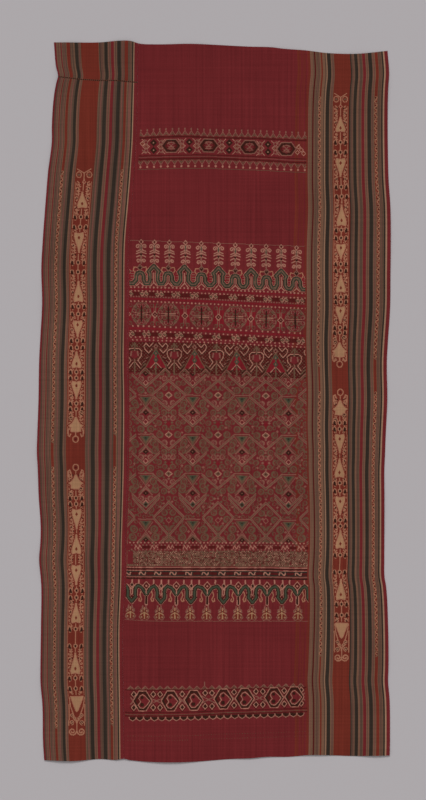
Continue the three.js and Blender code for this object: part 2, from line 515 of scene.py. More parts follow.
def warp_stripes(chart, stripes, first_column, full_width):
    columns = chart.columns - first_column
    for near, far, thread in stripes:
        low = first_column + round(near / full_width * columns)
        high = first_column + round(far / full_width * columns)
        if thread not in TAN_ENDS:
            chart.inks[:, low:high] = INK[thread]
            continue
        edge_ends, middle_ends = TAN_ENDS[thread]
        for column in range(low, high):
            share = (column - low + 0.5) / (high - low)
            ends = middle_ends if STRIPE_EDGE < share < 1 - STRIPE_EDGE else edge_ends
            chart.inks[:, column] = INK[ends[warping.integers(len(ends))]]


broad, narrow, head_piece = charts.values()
warp_stripes(broad, BORDER_STRIPES, FIELD_COLUMNS, BORDER_PIXELS)
warp_stripes(narrow, NARROW_STRIPES, 0, 1.0)
warp_stripes(head_piece, NARROW_STRIPES, 0, 1.0)
for column in range(FIELD_COLUMNS - MIXED_COLUMNS, FIELD_COLUMNS):
    if warping.random() < MIXED_SHARE:
        broad.inks[:, column] = INK["orange"]
# Painted shade along the head seam: one dark row on each side of it
narrow.inks[0, :] = INK["dark"]
head_piece.inks[-1, :] = INK["dark"]
print("stripes:", len(BORDER_STRIPES), "in the border,", len(NARROW_STRIPES), "in the narrow")

# %% [markdown]
# ## Bands at the head of the field
# Each band of the field is a row of one or two motifs between lines of dots. The first has
# six-sided frames with a barred scroll, and pairs of dark diamonds between them in a net of
# fine crossing lines.

# %% Head band of hexagons
broad.limit = (7, FIELD_COLUMNS - 3)
HEXAGON_PLACES = [171.2, 208.7, 249.5, 286.4]
PAIR_PLACES = [153.5, 189.4, 229.3, 268.0]
HEXAGON = [(-9.8, 0), (-5.0, -6.5), (5.0, -6.5), (9.8, 0), (5.0, 6.5), (-5.0, 6.5)]
BARRED_SCROLL = [
    [(-3.6, -2.4), (-2.6, -4.3), (2.6, -4.3), (3.6, -2.6)], [(-2.4, -3.2), (2.0, 2.6)],
    [(2.4, -3.2), (-2.0, 2.6)], [(-3.4, 3.7), (3.4, 3.7)], [(-2.6, 1.4), (2.6, 1.4)],
]
END_DIAMONDS = [
    # across, down, half width, half height, core
    (142.4, 143.7, 2.2, 2.4, "orange"), (145.8, 151.3, 2.0, 2.0, "field"),
    (297.4, 152.6, 2.0, 2.2, "orange"), (301.2, 150.2, 2.0, 2.2, "orange"),
    (298.4, 147.2, 2.0, 2.2, "orange"), (303.6, 153.6, 2.0, 2.2, "orange"),
]


def hexagon_frame(spot):
    spot.fill(HEXAGON, "maroon")
    spot.loop(np.multiply(HEXAGON, 0.78), "dark", 1.5)
    spot.fill(diamond(0, 0, 4.6, 5.0), "field")
    for bar in BARRED_SCROLL:
        spot.line(np.multiply(bar, (1, 0.8)), "dusk", 0.8)
    spot.loop(HEXAGON, "dusk", 1.0)


def diamond_pair(spot):
    for quarter in spot.quarters():
        quarter.line([(3.4, 7.4), (10.6, 0.2)], "ecru", 0.7)
        quarter.line([(11.4, 7.2), (4.0, 0)], "ecru", 0.7)
        ring(quarter, 7.4, 4.1, 1.9, 2.1, "field", "dusk")
        ring(quarter, 7.4, 0, 1.7, 1.9, "orange", "dusk")
        quarter.line([(11.2, 3.4), (8.6, 6.6)], "dusk", 0.8)
    for down in (-3.8, 3.8):
        spot.fill(diamond(0, down, 3.5, 3.7), "dark")
        spot.dot(0, down, "cream", 0.75)


def head_band(teeth, band):
    for x in np.arange(134.6, 306, 6.3):
        spot = teeth.on(x, 135.4)
        gable(spot, 2.9, -0.4, -4.8, "dusk", 0.8)
        gable(spot, 1.4, -0.6, -2.6, "olive", 0.9)
        spot.line([(0, -6.9), (0, -6.0)], "dusk", 1.5)
    teeth.weft(136.5, "maroon", 1.7)
    for x, y, half_width, half_height, core in END_DIAMONDS:
        ring(band, x, y, half_width, half_height, core, "ecru", 0.7)
    band.line([(295.6, 149.0), (299.4, 144.6)], "ecru", 0.7)
    for x in PAIR_PLACES:
        diamond_pair(band.on(x, 145.9))
    for x in HEXAGON_PLACES:
        hexagon_frame(band.on(x, 145.7))
    for y, ink, width in ((155.0, "maroon", 1.0), (156.6, "warp_rose", 0.5), (158.6, "maroon", 1.8)):
        band.weft(y, ink, width)
    for x in np.arange(133.5, 306, 6.85):
        spot = band.on(x, 160.0)
        gable(spot, 3, 0, 4.4, "dusk", 0.8)
        gable(spot, 1.4, 0.2, 2.2, "olive", 0.9)
        spot.dot(0, 6.2, "ecru", 1.1)
    band.weft(168.5, "olive", 0.5)


head_band(
    broad.band((141, 1.7), (160, 0.4), (180, -0.1), (195, 0.2), (210, 1.2), (255, 1.9), (300, 4)),
    broad.band((140, 1.0), (171, 0.2), (208, -0.2), (255, 1.7), (300, 4.0)),
)
broad.limit = (3, FIELD_COLUMNS - 3)
print("head band worked")

# %% [markdown]
# ## Trees and the serpent line
# The second band is a row of small trees over a green line that climbs over gabled and round
# arches in turn. The line is wrapped three times: pale, then dark, then green inside it.

# %% Band of trees over a green line
TREE_PLACES = [141.2, 154.5, 169.4, 185.5, 201.3, 218.6, 235.3, 251.2, 266.1, 281.2, 296.5]
ARCH_PLACES = [123.0, 140.0, 153.8, 168.3, 184.4, 201.5, 218.6, 235.3, 251.2, 266.5, 281.2, 296.5,
               312.0]
ARCH_TOP, ARCH_FOOT = 264.0, 19.3
TALL_SIDE = [(0, 1.6), (5.2, 7.2), (4.0, 9.2), (3.8, 15.8)]
SHORT_SIDE = [(0, 8.4), (2.3, 9.2), (3.6, 12), (3.6, 15.8)]


def serpent_path():
    """The green line, over gabled and round arches in turn"""
    path = []
    for turn, x in enumerate(ARCH_PLACES):
        if turn:
            between = mix(ARCH_PLACES[turn - 1], x, 0.5)
            path += [(between - 1.8, ARCH_FOOT), (between + 1.8, ARCH_FOOT)]
        path += arch(x, SHORT_SIDE if turn % 2 else TALL_SIDE)
    return path


def small_tree(spot):
    spot.line([(0, 2), (0, 22.4)], "dusk", 1.8)
    for half in spot.halves():
        half.line([(0.9, 11.0), (1.2, 7.6), (1.1, 5.4)], "dusk", 1.0)
        half.curl(3.3, 5.8, 2.4, 1.15, 180, "ecru", 1.1)
        half.curl(2.7, 20.4, 2.2, 1.1, 180, "ecru", 1.1)
    for near, far, reach in ((8.8, 10.8, 4.4), (11.2, 13.0, 4.8), (14.4, 16.2, 4.5)):
        spot.both([(0.4, near), (reach, far)], "ecru", 1.1)
    spot.dot(0, 13.8, "dark", 1.1)
    spot.line([(0, 4.8), (0, 9.0)], "green", 0.7)
    ring(spot, 0, 1.3, 1.9, 2.2, "maroon", "ecru", 0.9)


def tree_band(band):
    for x in TREE_PLACES:
        small_tree(band.on(x, 240.6))
    for near, far in zip(ARCH_PLACES, ARCH_PLACES[1:]):
        spot = band.on(mix(near, far, 0.5), ARCH_TOP)
        spot.fill([(-3, 5), (3, 5), (2.4, 17), (-2.4, 17)], "bright")
        for step in (7, 9.5, 12, 14.5):
            spot.line([(-0.4, step), (2.2, step)], "dusk", 0.9)
    path = band.along(serpent_path())
    for ink, width in (("ecru", 5.1), ("dark", 4.2), ("green", 2.7), ("dusk", 0.6)):
        band.at(0, ARCH_TOP).line(path, ink, width)
    for x in ARCH_PLACES[::2]:
        spot = band.on(x, ARCH_TOP)
        spot.line([(0, 8.6), (0, 18)], "ecru", 1.0)
        spot.dot(0, 6.4, "maroon", 1.1)
        spot.both([(0, 18.4), (3.2, 21.8)], "ecru", 1.0)
    for x in ARCH_PLACES[1::2]:
        spot = band.on(x, ARCH_TOP)
        spot.both([(2.6, 3.4), (5.9, 3.0), (6.7, 6.0), (5.2, 8.2)], "tan", 1.0)
        ring(spot, 0, 3.4, 2.5, 3.2, "dark", "dusk", 0.9)
        spot.dot(0, 2.4, "dusk", 0.6)
        spot.line([(0, 12.4), (0, 18.4)], "dusk", 1.0)
        spot.both([(0, 18.4), (3.6, 21.8)], "ecru", 1.0)
    band.dots(287.2, 3.8, 131, "ecru", 0.85)
    band.weft(288.9, "bright", 1.2)


tree_band(broad.band((141, 0), (185, 0.9), (218, 2.4), (251, 4.1), (281, 4.9), (300, 6.3)))
broad.band((140, 0.5), (300, 6.2)).weft(240.0, "dusk", 0.5)
print("tree band worked")

# %% [markdown]
# ## Narrow bands of hooks, and the rosettes between them
# Two narrow bands of S-shaped hooks on dark blocks hold a wider band of rosettes: many-sided,
# filled with close scrolls, on a bright red ground. Dots of pale thread edge every band.

# %% Bands of hooks and rosettes
HOOK = [
    [(-3.3, 0.8), (-2.6, 2.0), (-1.0, 1.7), (-0.1, 0), (0.7, -1.7), (2.5, -2.0), (3.3, -0.6)],
    [(-3.2, -1.0), (-1.7, -1.9), (-0.9, -0.7)], [(3.2, 1.2), (1.8, 1.9), (1.0, 0.7)],
]
HOOK_DOTS = [(-3.6, -0.4), (-1.9, 0.3), (1.9, -0.3), (3.6, 0.4), (-1.8, 2.2), (1.8, -2.2)]
FIRST_HOOKS = [128.8, 144.2, 159.5, 175.9, 194.4, 213.4, 233.0, 250.3, 267.6, 284.0, 300.0, 316.0]
SECOND_HOOKS = [130.6, 146.5, 162.4, 179.1, 198.2, 216.5, 235.7, 252.4, 269.1, 284.7, 301.1, 316.0]
ROSETTES = [114.0, 141.4, 168.4, 201.5, 235.5, 266.2, 295.2, 324.0]
ROSETTE = [(-11.4, 0), (-10.2, -4.8), (-5, -11.2), (5, -11.2), (10.2, -4.8), (11.4, 0),
           (10.2, 4.8), (5, 11.2), (-5, 11.2), (-10.2, 4.8)]


def hook_row(band, places, y):
    for x, following in zip(places, places[1:]):
        reach = (following - x) / 2 - 4.0
        band.on(mix(x, following, 0.5), y).fill(box(-reach, -2.0, reach, 2.0), "maroon")
        spot = band.on(x, y)
        spot.fill(box(-4.2, -2.5, 4.2, 2.5), "maroon")
        for dx, dy in HOOK_DOTS:
            spot.dot(dx, dy, "olive", 1.05)
        for stroke in HOOK:
            spot.line(stroke, "ecru", 0.75)


def rosette(spot, size):
    outline = np.multiply(ROSETTE, (size, 1))
    spot.fill(outline, "field")
    for share, ink, width in ((0.97, "olive", 0.7), (0.72, "maroon", 0.8), (0.3, "olive", 1.0)):
        spot.loop(outline * share, ink, width)
    for quarter in spot.quarters():
        close_scroll(quarter, 3.6 * size, 3.2, 2.2)
        close_scroll(quarter, 2.6 * size, 8.1, 2.0, "dusk", -1)
        close_scroll(quarter, 8.1 * size, 2.8, 2.2, "dusk", -1)
        quarter.dot(6.8 * size, 7.0, "olive", 1.8)
        quarter.line([(4.9 * size, 10.0), (8.8 * size, 6.2)], "dusk", 0.7)
    for dy, ink in ((-0.8, "ecru"), (1.0, "ecru"), (0.1, "dark")):
        spot.line([(-7.0 * size, dy), (7.0 * size, dy)], ink, 0.6)
    spot.line([(0, -7.4), (0, 7.4)], "dark", 1.6)


def rosette_band(band):
    band.dots(301.2, 3.8, 131, "ecru", 0.85)
    for near, far in zip(ROSETTES, ROSETTES[1:]):
        spot = band.on(mix(near, far, 0.5), 314.0)
        spot.fill(diamond(0, 0, (far - near) / 2 - 6, 12), "bright")
        for quarter in spot.quarters():
            quarter.line([(0.9, 3), (0.9, 8)], "dusk", 0.9)
            close_scroll(quarter, 2.6, 8.9, 2.0, flip=-1)
        ring(spot, 0, 0, 3.0, 3.2, "maroon")
        spot.dot(0, 0, "dusk", 0.8)
    for near, x, far in zip(ROSETTES, ROSETTES[1:], ROSETTES[2:]):
        rosette(band.on(x, 313.6), min((far - near) / 60, 1.08))
    band.dots(326.0, 5.4, 132.8, "ecru", 0.9)


hooks = broad.band((141, 0), (214, 3.0), (303, 7.4))
hooks.dots(290.8, 3.7, 131.4, "ecru", 0.8)
hook_row(hooks, FIRST_HOOKS, 293.6)
hooks.dots(296.5, 2.7, 131, "dusk", 0.75)
hooks.weft(298.7, "bright", 1.6)
rosette_band(hooks)
hooks.weft(328.3, "bright", 1.6)
hooks.dots(330.9, 4.4, 131, "ecru", 0.8)
hook_row(hooks, SECOND_HOOKS, 333.9)
hooks.dots(337.0, 4.5, 131, "ecru", 0.8)
hooks.dots(339.8, 4.2, 132.8, "ecru", 0.8)
print("hook and rosette bands worked")

# %% [markdown]
# ## The lattice
# The middle of the cloth is one great lattice: small diamonds on a half-drop repeat, joined
# by wide chevrons, with every space filled by close scrolls, so that hardly any red is left.
# It is charted as two repeats, one for each column, and set out by their pitch.

# %% Lattice of diamonds and scrolls
DIAMOND_COLUMNS = [119.5, 168.7, 218.0, 265.8, 315.0]
FIGURE_COLUMNS = [145.8, 192.7, 242.0, 288.5]
DIAMOND_ROWS = [395.0, 434.6, 473.6]
FIGURE_ROWS = [373.0, 412.0, 451.2, 492.6]
DIAMOND_SCROLLS = [
    # across, down, radius, way of the turn
    (8.8, 0.0, 3.7, 1), (3.9, -7.2, 2.9, -1), (4.0, -16.6, 2.9, 1), (3.9, 8.0, 3.0, 1),
    (15.2, 7.8, 3.8, -1), (4.6, 17.4, 3.3, -1), (13.4, 15.8, 4.0, 1), (9.6, -11.6, 3.0, -1),
]
FIGURE_SCROLLS = [(4.6, 5.8, 3.1, 1), (4.8, 17.0, 3.8, -1), (9.4, 9.6, 2.8, -1), (9.6, -6.6, 3.2, 1)]
FOOT_SCROLLS = [(4.0, 10.4, 3.4, 1), (8.8, 17.1, 3.8, -1), (4.2, 26.4, 3.8, 1),
                (14.4, 27.0, 4.1, -1), (13.2, 35.0, 4.2, 1), (3.6, 37.0, 3.3, -1)]
lattice = broad.band((140, 0), (218, 0.2), (300, 1.4))


def scrolls(spot, table):
    for across, down, radius, way in table:
        thread = "dusk" if radius < 3.2 and way > 0 else "olive"
        for half in spot.halves():
            close_scroll(half, across, down, radius * 0.97, thread, flip=way)


def banded(spot, points):
    """A broad line of the lattice: olive between two thin pale lines, kept clear of scrolls"""
    spot.both(points, "field", 3.5)
    for drop, ink in ((-1.1, "dusk"), (1.1, "dusk"), (0, "olive")):
        spot.at(0, drop).both(points, ink, 0.8)


def lattice_diamond(spot, crowned):
    scrolls(spot, DIAMOND_SCROLLS)
    banded(spot, [(16.4, 0.6), (0, 14.6)])
    if crowned:
        banded(spot, [(16.6, -0.4), (0, -14.6)])
        spot.fill(diamond(0, -11.0, 1.9), "bright")
    ring(spot, 0, 0, 3.5, 3.0, "olive")
    spot.dot(0, 0, "maroon", 0.8)
    spot.fill(diamond(0, 28.8, 2.2), "bright")


def lattice_figure(spot):
    """The figure between two diamonds, hung on its crossbar"""
    scrolls(spot, FIGURE_SCROLLS)
    banded(spot, [(14.0, 1.2), (0, 13.8)])
    spot.fill([(0, -4), (6.4, 2.6), (0, 3.6), (-6.4, 2.6)], "field")
    spot.both([(0, -4.4), (6.6, 2.2)], "dusk", 1.2)
    spot.both([(0, -6.6), (7.2, 0.4)], "olive", 1.1)
    spot.fill(diamond(0, 0.4, 3.2, 2.8), "dark")
    spot.dot(0, 0.4, "dusk", 0.6)
    ring(spot, 0, 9.8, 2.4, 2.5, "field", "ecru", 0.6)


def crossbar(spot):
    spot.line([(-7.4, 0), (7.4, 0)], "dusk", 1.0)
    spot.fill([(-6.4, 1.6), (6.4, 1.6), (0, 11.0)], "olive")
    spot.fill([(-3.4, 2.4), (3.4, 2.4), (0, 7.4)], "green")
    spot.dot(0, 3.8, "dark", 0.8)
    spot.both([(7.0, 3.0), (0, 12.4), (4.0, 18.0)], "dusk", 0.8)


for column in DIAMOND_COLUMNS:
    scrolls(lattice.on(column, 502.1), FOOT_SCROLLS)
    for row in DIAMOND_ROWS:
        lattice_diamond(lattice.on(column, row), row == DIAMOND_ROWS[0])
for column in FIGURE_COLUMNS:
    for row in FIGURE_ROWS:
        lattice_figure(lattice.on(column, row))
    for row in FIGURE_ROWS[:-1]:
        crossbar(lattice.on(column, row + 22.0))
print("lattice worked")


# %% Foot of the lattice
def lattice_foot(spot):
    """The half diamond under each column of diamonds"""
    banded(spot, [(0, 0), (15.5, 15.4), (0, 33.4), (8, 40)])
    ring(spot, 0, 18.0, 2.6, 2.8, "field", "dusk")
    spot.line([(0, 22), (0, 40)], "olive", 0.8)


def figure_foot(spot):
    banded(spot, [(13.6, -7.0), (0, 8.0)])
    ring(spot, 0, 0, 3.2, 3.4, "green", "dusk")
    spot.dot(0, 0, "dark", 1.2)
    crossbar(spot.at(0, 14.6))
    spot.both([(0, 29.6), (8.4, 37.4)], "dusk", 1.1)
    spot.both([(0, 31.6), (8.4, 39.4)], "olive", 1.2)
    spot.fill(diamond(0, 35.2, 2.8, 2.6), "dark")
    spot.dot(0, 35.2, "dusk", 0.6)


def fill_in(band, top, low):
    """Close scrolls and small diamonds, set on diagonals, wherever the ground lies open"""
    for radius, room, pitch in ((2.4, 4, 3.3), (1.9, 3, 1.65), (1.3, 2, 1.65)):
        spots = []
        for column in DIAMOND_COLUMNS:
            for row, y in enumerate(np.arange(top, low, pitch)):
                for across in np.arange(pitch if row % 2 else 0, 24.8, 2 * pitch):
                    spots += [(column + side * across, y + band.sag(column)) for side in (-1, 1)]
        for turn, (near, down) in enumerate(band.cells(spots).astype(int)):
            patch = band.inks[down - room : down + room + 1, max(near - room, 0) : near + room + 1]
            if not patch.size or patch.max() > INK["orange"]:
                continue
            spot = band.at(*spots[turn])
            if radius > 1.5:
                close_scroll(spot, 0, 0, radius, "olive", 1 if turn % 2 else -1, 1 if down % 3 else -1)
            else:
                spot.fill(diamond(0, 0, 1.5, 1.4), "dusk" if down % 2 else "olive")


for column in DIAMOND_COLUMNS:
    lattice_foot(lattice.on(column, 502.1))
for column in FIGURE_COLUMNS:
    figure_foot(lattice.on(column, 504.4))
fill_in(lattice, 373.0, 541.0)
print("foot of the lattice worked")

# %% [markdown]
# ## Plants and arches
# Above the lattice stands a row of plants with paired hooks, and an open arch between each
# two, on a dark ground. A bright red tent hangs behind each plant.

# %% Band of plants and arches
PLANTS = [155.9, 194.6, 236.7, 275.7, 316.0]
ARCHES = [134.5, 174.4, 216.4, 256.5, 294.3]
PLANT_HOOKS = [(2.9, 342.6), (6.4, 346.6), (9.9, 342.8), (12.0, 345.8), (10.9, 349.0),
               (7.2, 352.8), (3.9, 348.8)]
ARCH_SIDE = [(0, 348.3), (4.6, 348.7), (7.2, 351.0), (6.8, 355.8), (3.4, 360.4), (6.8, 365.0)]


def shaded(spot, points, ink="ecru"):
    """A line on both sides of a middle, with a dark one under it"""
    spot.at(0, 1.1).both(points, "dark")
    spot.both(points, ink)


def plant(spot):
    spot.fill([(0, 349), (10.2, 367.5), (-10.2, 367.5)], "bright")
    spot.both([(0.6, 349), (10.6, 367.5)], "olive")
    spot.line([(0, 349), (0, 373)], "olive", 1.6)
    shaded(spot, PLANT_HOOKS)
    shaded(spot, [(7.4, 356.6), (9.8, 358.2)], "dusk")
    shaded(spot, [(10.4, 360.4), (12.6, 362.2)], "dusk")
    ring(spot, 0, 346.2, 1.9, 2.0, "maroon", "dusk", 1.1)
    for y in (353.0, 359.4):
        ring(spot, 0, y, 1.8, 2.2, "dusk", "green", 1.2)
    shaded(spot, [(0.7, 362.6), (5.0, 367.4)])


def open_arch(spot):
    shaded(spot, ARCH_SIDE)
    spot.line([(0, 343), (0, 373)], "olive", 1.5)
    spot.line([(0, 350), (0, 362)], "dusk", 0.8)
    spot.both([(0, 343.4), (3.0, 346.6)], "olive", 1.2)
    spot.fill([(-4.6, 351), (4.6, 351), (4.4, 356), (0, 359), (-4.4, 356)], "field")
    spot.both([(3.0, 351.6), (3.6, 355.4)], "dusk", 1.4)
    shaded(spot, [(1.2, 362.4), (5.6, 368.0)])


def plant_band(band):
    band.block(341.8, 372.4, "maroon")
    for row, down in enumerate(np.arange(343.2, 371.0, 1.7)):
        band.dots(down, 3.4, 129.0 + 1.7 * (row % 2), "olive", 0.55, last=308)
    turns = sorted(PLANTS + ARCHES) + [330.0]
    for near, far in zip(turns, turns[1:]):
        for down, ink in ((363.6, "olive"), (365.6, "dark"), (367.6, "dusk"), (369.6, "olive")):
            band.on(mix(near, far, 0.5), down).both([(0, 0), (4.6, 4.6)], ink)
    for x in PLANTS:
        plant(band.on(x, 0))
    for x in ARCHES:
        open_arch(band.on(x, 0))


plant_band(broad.band((141, 0), (194, 1.0), (236, 2.5), (276, 5.0), (300, 6.2)))
print("plants and arches worked")

# %% [markdown]
# ## Narrow bands under the lattice
# Four narrow bands close the lattice: zigzags between dark blocks, a speckled band, and a
# dark band of small hooks between pale lines.

# %% Bands of small figures and speckles
ZIGZAG = [(-3.4, 1.7), (-2.0, -1.9), (0.2, 1.7), (1.8, -1.9), (3.4, 0.6)]
ZIGZAG_PLACES = [138.0, 154.2, 170.4, 186.4, 203.5, 220.0, 236.5, 252.8, 268.9, 285.0, 301.0, 317.0]
LOW_HOOKS = [127.4, 142.4, 157.7, 173.0, 188.7, 205.2, 221.9, 237.6, 251.9, 266.8, 282.2, 298.3,
             312.0]
SMALL_HOOK = [(-3.0, 1.0), (-2.6, -1.2), (-1.0, -1.1), (1.0, 1.1), (2.6, 1.2), (3.0, -1.0)]
SPECKLES = ["olive", "dusk", "maroon", "field", "ecru"]
SPECKLE_SHARES = [0.12, 0.44, 0.06, 0.18, 0.2]
CLOSING_LINES = [
    # down, thread, width
    (567.3, "ecru", 0.7), (568.8, "dark", 1.2), (570.3, "ecru", 0.7),
    (573.3, "warp_dark", 5.0), (576.6, "dusk", 1.0), (578.2, "dark", 1.3),
]
speckling = np.random.default_rng(23)


def speckled_band(band):
    band.block(550.4, 566.2, "olive")
    for row, y in enumerate(np.arange(551.0, 566.0, 1.25)):
        for x in np.arange(127.5 + 1.1 * (row % 2), 309.0, 2.2):
            spot = band.on(x, y)
            spot.dot(0, 0, SPECKLES[speckling.choice(5, p=SPECKLE_SHARES)], 0.6)
            spot.dot(1.1, 0, "maroon" if speckling.random() < 0.5 else "olive", 0.5)
    band.fill(box(127.3, 551, 133, 564), "field")


def closing_bands(band):
    band.dots(542.6, 3.7, 130, "ecru", 0.8)
    band.dots(545.0, 3.7, 131.8, "dusk", 0.8)
    for x, following in zip(ZIGZAG_PLACES, ZIGZAG_PLACES[1:]):
        band.on(mix(x, following, 0.5), 547.0).fill(box(-3.8, -1.4, 3.8, 1.4), "maroon")
        band.on(x, 547.2).line(ZIGZAG, "ecru", 0.8)
    band.dots(549.4, 3.7, 131.8, "dusk", 0.8)
    speckled_band(band)
    for y, ink, width in CLOSING_LINES:
        band.weft(y, ink, width)
    for x, following in zip(LOW_HOOKS, LOW_HOOKS[1:]):
        spot = band.on(x, 573.3)
        middle = (following - x) / 2
        spot.line([(middle - 2.6, 0), (middle + 2.6, 0)], "maroon", 2.6)
        spot.line(SMALL_HOOK, "ecru", 1.1)


closing_bands(broad.band((130, 0), (260, 0.3), (300, 1.0)))
print("closing bands worked")

# %% [markdown]
# ## The second serpent line and its pendants
# Lower down a green line runs again, in deep narrow loops, with big open diamonds on stems,
# and a row of pendants in pink and gold hangs below it.

# %% Band of loops and pendants
LOOP_TURNS = [131.6, 146.3, 160.8, 176.4, 190.9, 207.3, 223.4, 238.4, 252.4, 267.1, 281.9, 297.3,
              311.5]
PENDANTS = [130.4, 144.4, 159.3, 174.9, 190.1, 206.6, 222.5, 237.7, 251.8, 266.5, 281.7, 297.9]
LOOP_SIDE = [(0, 601.2), (3.8, 596.4), (3.5, 590.6), (4.4, 586.6), (6.6, 585.0)]
STEM_SIDE = [(0, 593.6), (2.4, 590.2), (4.2, 586.8)]
LEAF_HOOK = [(5.4, 590.6), (6.4, 594.0), (4.6, 598.0), (5.6, 600.4), (7.4, 599.6), (7.0, 597.4)]
PENDANT_HEAD = [(0, 607.0), (4.4, 610.8), (2.4, 612.6), (5.4, 616.0), (3.0, 619.0), (0, 617.6)]
PENDANT_TURNS = [(2.6, 609.8, 1.9), (3.1, 615.8, 2.1)]


def pendant(spot):
    spot.both([(1.6, 604.8), (1.9, 607.6)], "dusk", 1.2)
    spot.fill(whole(PENDANT_HEAD), "orange")
    spot.loop(whole(PENDANT_HEAD), "dusk", 0.6)
    for dx, y, radius in PENDANT_TURNS:
        for half in spot.halves():
            half.curl(dx, y, radius, 0.9, -90, "dusk", 0.8)
            half.dot(dx, y, "gold", 0.6)
    spot.line([(0, 606.6), (0, 617.4)], "gold", 1.1)
    spot.both([(0, 611.4), (4.0, 613.6)], "gold", 0.8)
    spot.dot(0, 610.2, "dark", 0.6)


def loop_core(spot, drop):
    """What fills a loop; its stem starts half as low as the loop sags"""
    spot.line([(0.8, 579.8 - drop / 2), (0.8, 583.0)], "ecru", 1.5)
    spot.both([(0, 588.4), (4.4, 583.8)], "ecru")
    ring(spot, 0.4, 584.6, 2.0, 2.6, "dark", "ecru", 0.7)
    spot.both([(0.9, 587.0), (0.9, 592.6), (0, 594.6)], "ecru", 0.6)
    spot.dot(0, 596.0, "maroon", 1.2)


def stemmed_diamond(spot):
    ring(spot, 0, 584.6, 3.6, 4.2, "maroon")
    spot.dot(0, 584.8, "ecru", 1.0)
    spot.line([(0, 589.2), (0, 592.4)], "ecru", 1.0)
    spot.line([(0, 596.0), (0, 602.8)], "ecru", 3.2)
    spot.line([(0, 595.6), (0, 602.4)], "dark", 1.9)
    spot.both(LEAF_HOOK, "tan", 1.1)


def loop_band(band):
    for near, far in zip(LOOP_TURNS, LOOP_TURNS[1:]):
        x = mix(near, far, 0.5)
        band.at(x, band.sag(x) / 2).line([(0, 579.8), (0, 582.6)], "ecru", 1.5)
    path = []
    for turn, x in enumerate(LOOP_TURNS):
        path += band.along(arch(x, STEM_SIDE if turn % 2 else LOOP_SIDE))
    for ink, width in (("ecru", 4.8), ("dark", 4.0), ("green", 1.9)):
        band.line(path, ink, width)
    for x in LOOP_TURNS[::2]:
        loop_core(band.on(x, 0), band.sag(x))
    for x in LOOP_TURNS[1::2]:
        stemmed_diamond(band.on(x, 0))
    for x in PENDANTS:
        pendant(band.on(x, 0))
    band.weft(619.8, "dusk", 0.5)


loop_band(broad.band((131, 0), (145, 0.9), (160, 1.2), (223, 1.4), (282, 1.4)))
print("loop band worked")

# %% [markdown]
# ## The foot band of hearts
# The last band mirrors the first: six-sided frames with an open heart in each, teeth above
# and a row of scallops below.

# %% Foot band of hearts
HEART_PLACES = [125.0, 142.6, 170.7, 193.8, 223.4, 244.8, 274.0, 294.4, 308.0]
HEART_DOWN = 700.9
HEART = [(-3.8, -2.6), (-2.2, -5.4), (0.4, -6.4), (3.6, -3.6), (7.2, 0.2), (4.0, 4.6),
         (0.8, 7.4), (-2.4, 7.0), (-4.4, 4.2), (-1.9, 0.9)]
HEART_FRAME = [(-9.6, 0), (-3.6, -10.0), (3.6, -10.0), (9.6, 0), (3.6, 10.0), (-3.6, 10.0)]
SCALLOP = [(-3.6, 0), (-3.0, 2.2), (0, 3.9), (3.0, 2.2), (3.6, 0)]
WIDE_ROOM = 26


def heart_frame(spot):
    spot.fill(HEART_FRAME, "maroon")
    spot.loop(np.multiply(HEART_FRAME, 0.82), "dark", 1.8)
    spot.loop(HEART_FRAME, "ecru", 0.8)
    spot.fill(HEART, "field")
    spot.dot(-0.4, -3.4, "dark", 1.5)
    spot.dot(-0.4, 3.8, "dark", 1.9)
    spot.loop(HEART, "ecru", 0.8)


def between_hearts(spot, room):
    """Four small diamonds where there is room for two side by side, or else two"""
    spread = 3.4 if room > WIDE_ROOM else 0
    spot.fill(diamond(0, 0, room / 2 - 4, 9.6), "field")
    for quarter in spot.quarters():
        quarter.line([(spread + 3.2, 3.4), (0.6, 0.4)], "dusk", 1.1)
        quarter.fill(diamond(spread, 6.6, 4.4, 5.0), "maroon")
        ring(quarter, spread, 6.6, 2.5, 3.0, "dark")


def heart_band(teeth, band):
    for x in np.arange(130.5, 305, 7.4):
        gable(teeth.on(x, 689.2), 3.2, 0, -3.2, "dusk", 0.8)
        gable(teeth.on(x, 689.2), 1.6, 0, -1.6, "olive", 1.0)
    band.line([(204.4, 682.0), (204.4, 686.0)], "dusk", 1.0)
    teeth.weft(690.0, "maroon", 1.2)
    for near, far in zip(HEART_PLACES, HEART_PLACES[1:]):
        between_hearts(band.on(mix(near, far, 0.5), HEART_DOWN), far - near)
    for x in HEART_PLACES[1:-1]:
        heart_frame(band.on(x, HEART_DOWN))
    for y, ink, width in ((712.6, "maroon", 1.2), (714.6, "olive", 0.6), (716.0, "maroon", 1.2)):
        band.weft(y, ink, width)
    for x in np.arange(132.6, 306, 7.3):
        spot = band.on(x, 717.0)
        spot.fill(SCALLOP, "dark")
        spot.line(SCALLOP, "ecru", 0.7)
    for y in (736.0, 740.4):
        band.dots(y, 2.6, 128, "olive", 0.3)


heart_band(
    broad.band((140, 0), (200, 0), (300, -2.6)),
    broad.band((140, 0), (170, 0), (194, -0.7), (224, -2.0), (274, -3.3), (300, -4.4)),
)
broad.limit = (0, broad.columns)
print("heart band worked")

# %% [markdown]
# ## Ornament of the side borders
# The wide orange stripes carry buds on one long stem, up and down in turn, with rows of dark
# eyes between them and close lace along both edges. It stops for a hand's breadth half way
# down the cloth. The narrow orange stripes carry a running scroll over the same stretch.

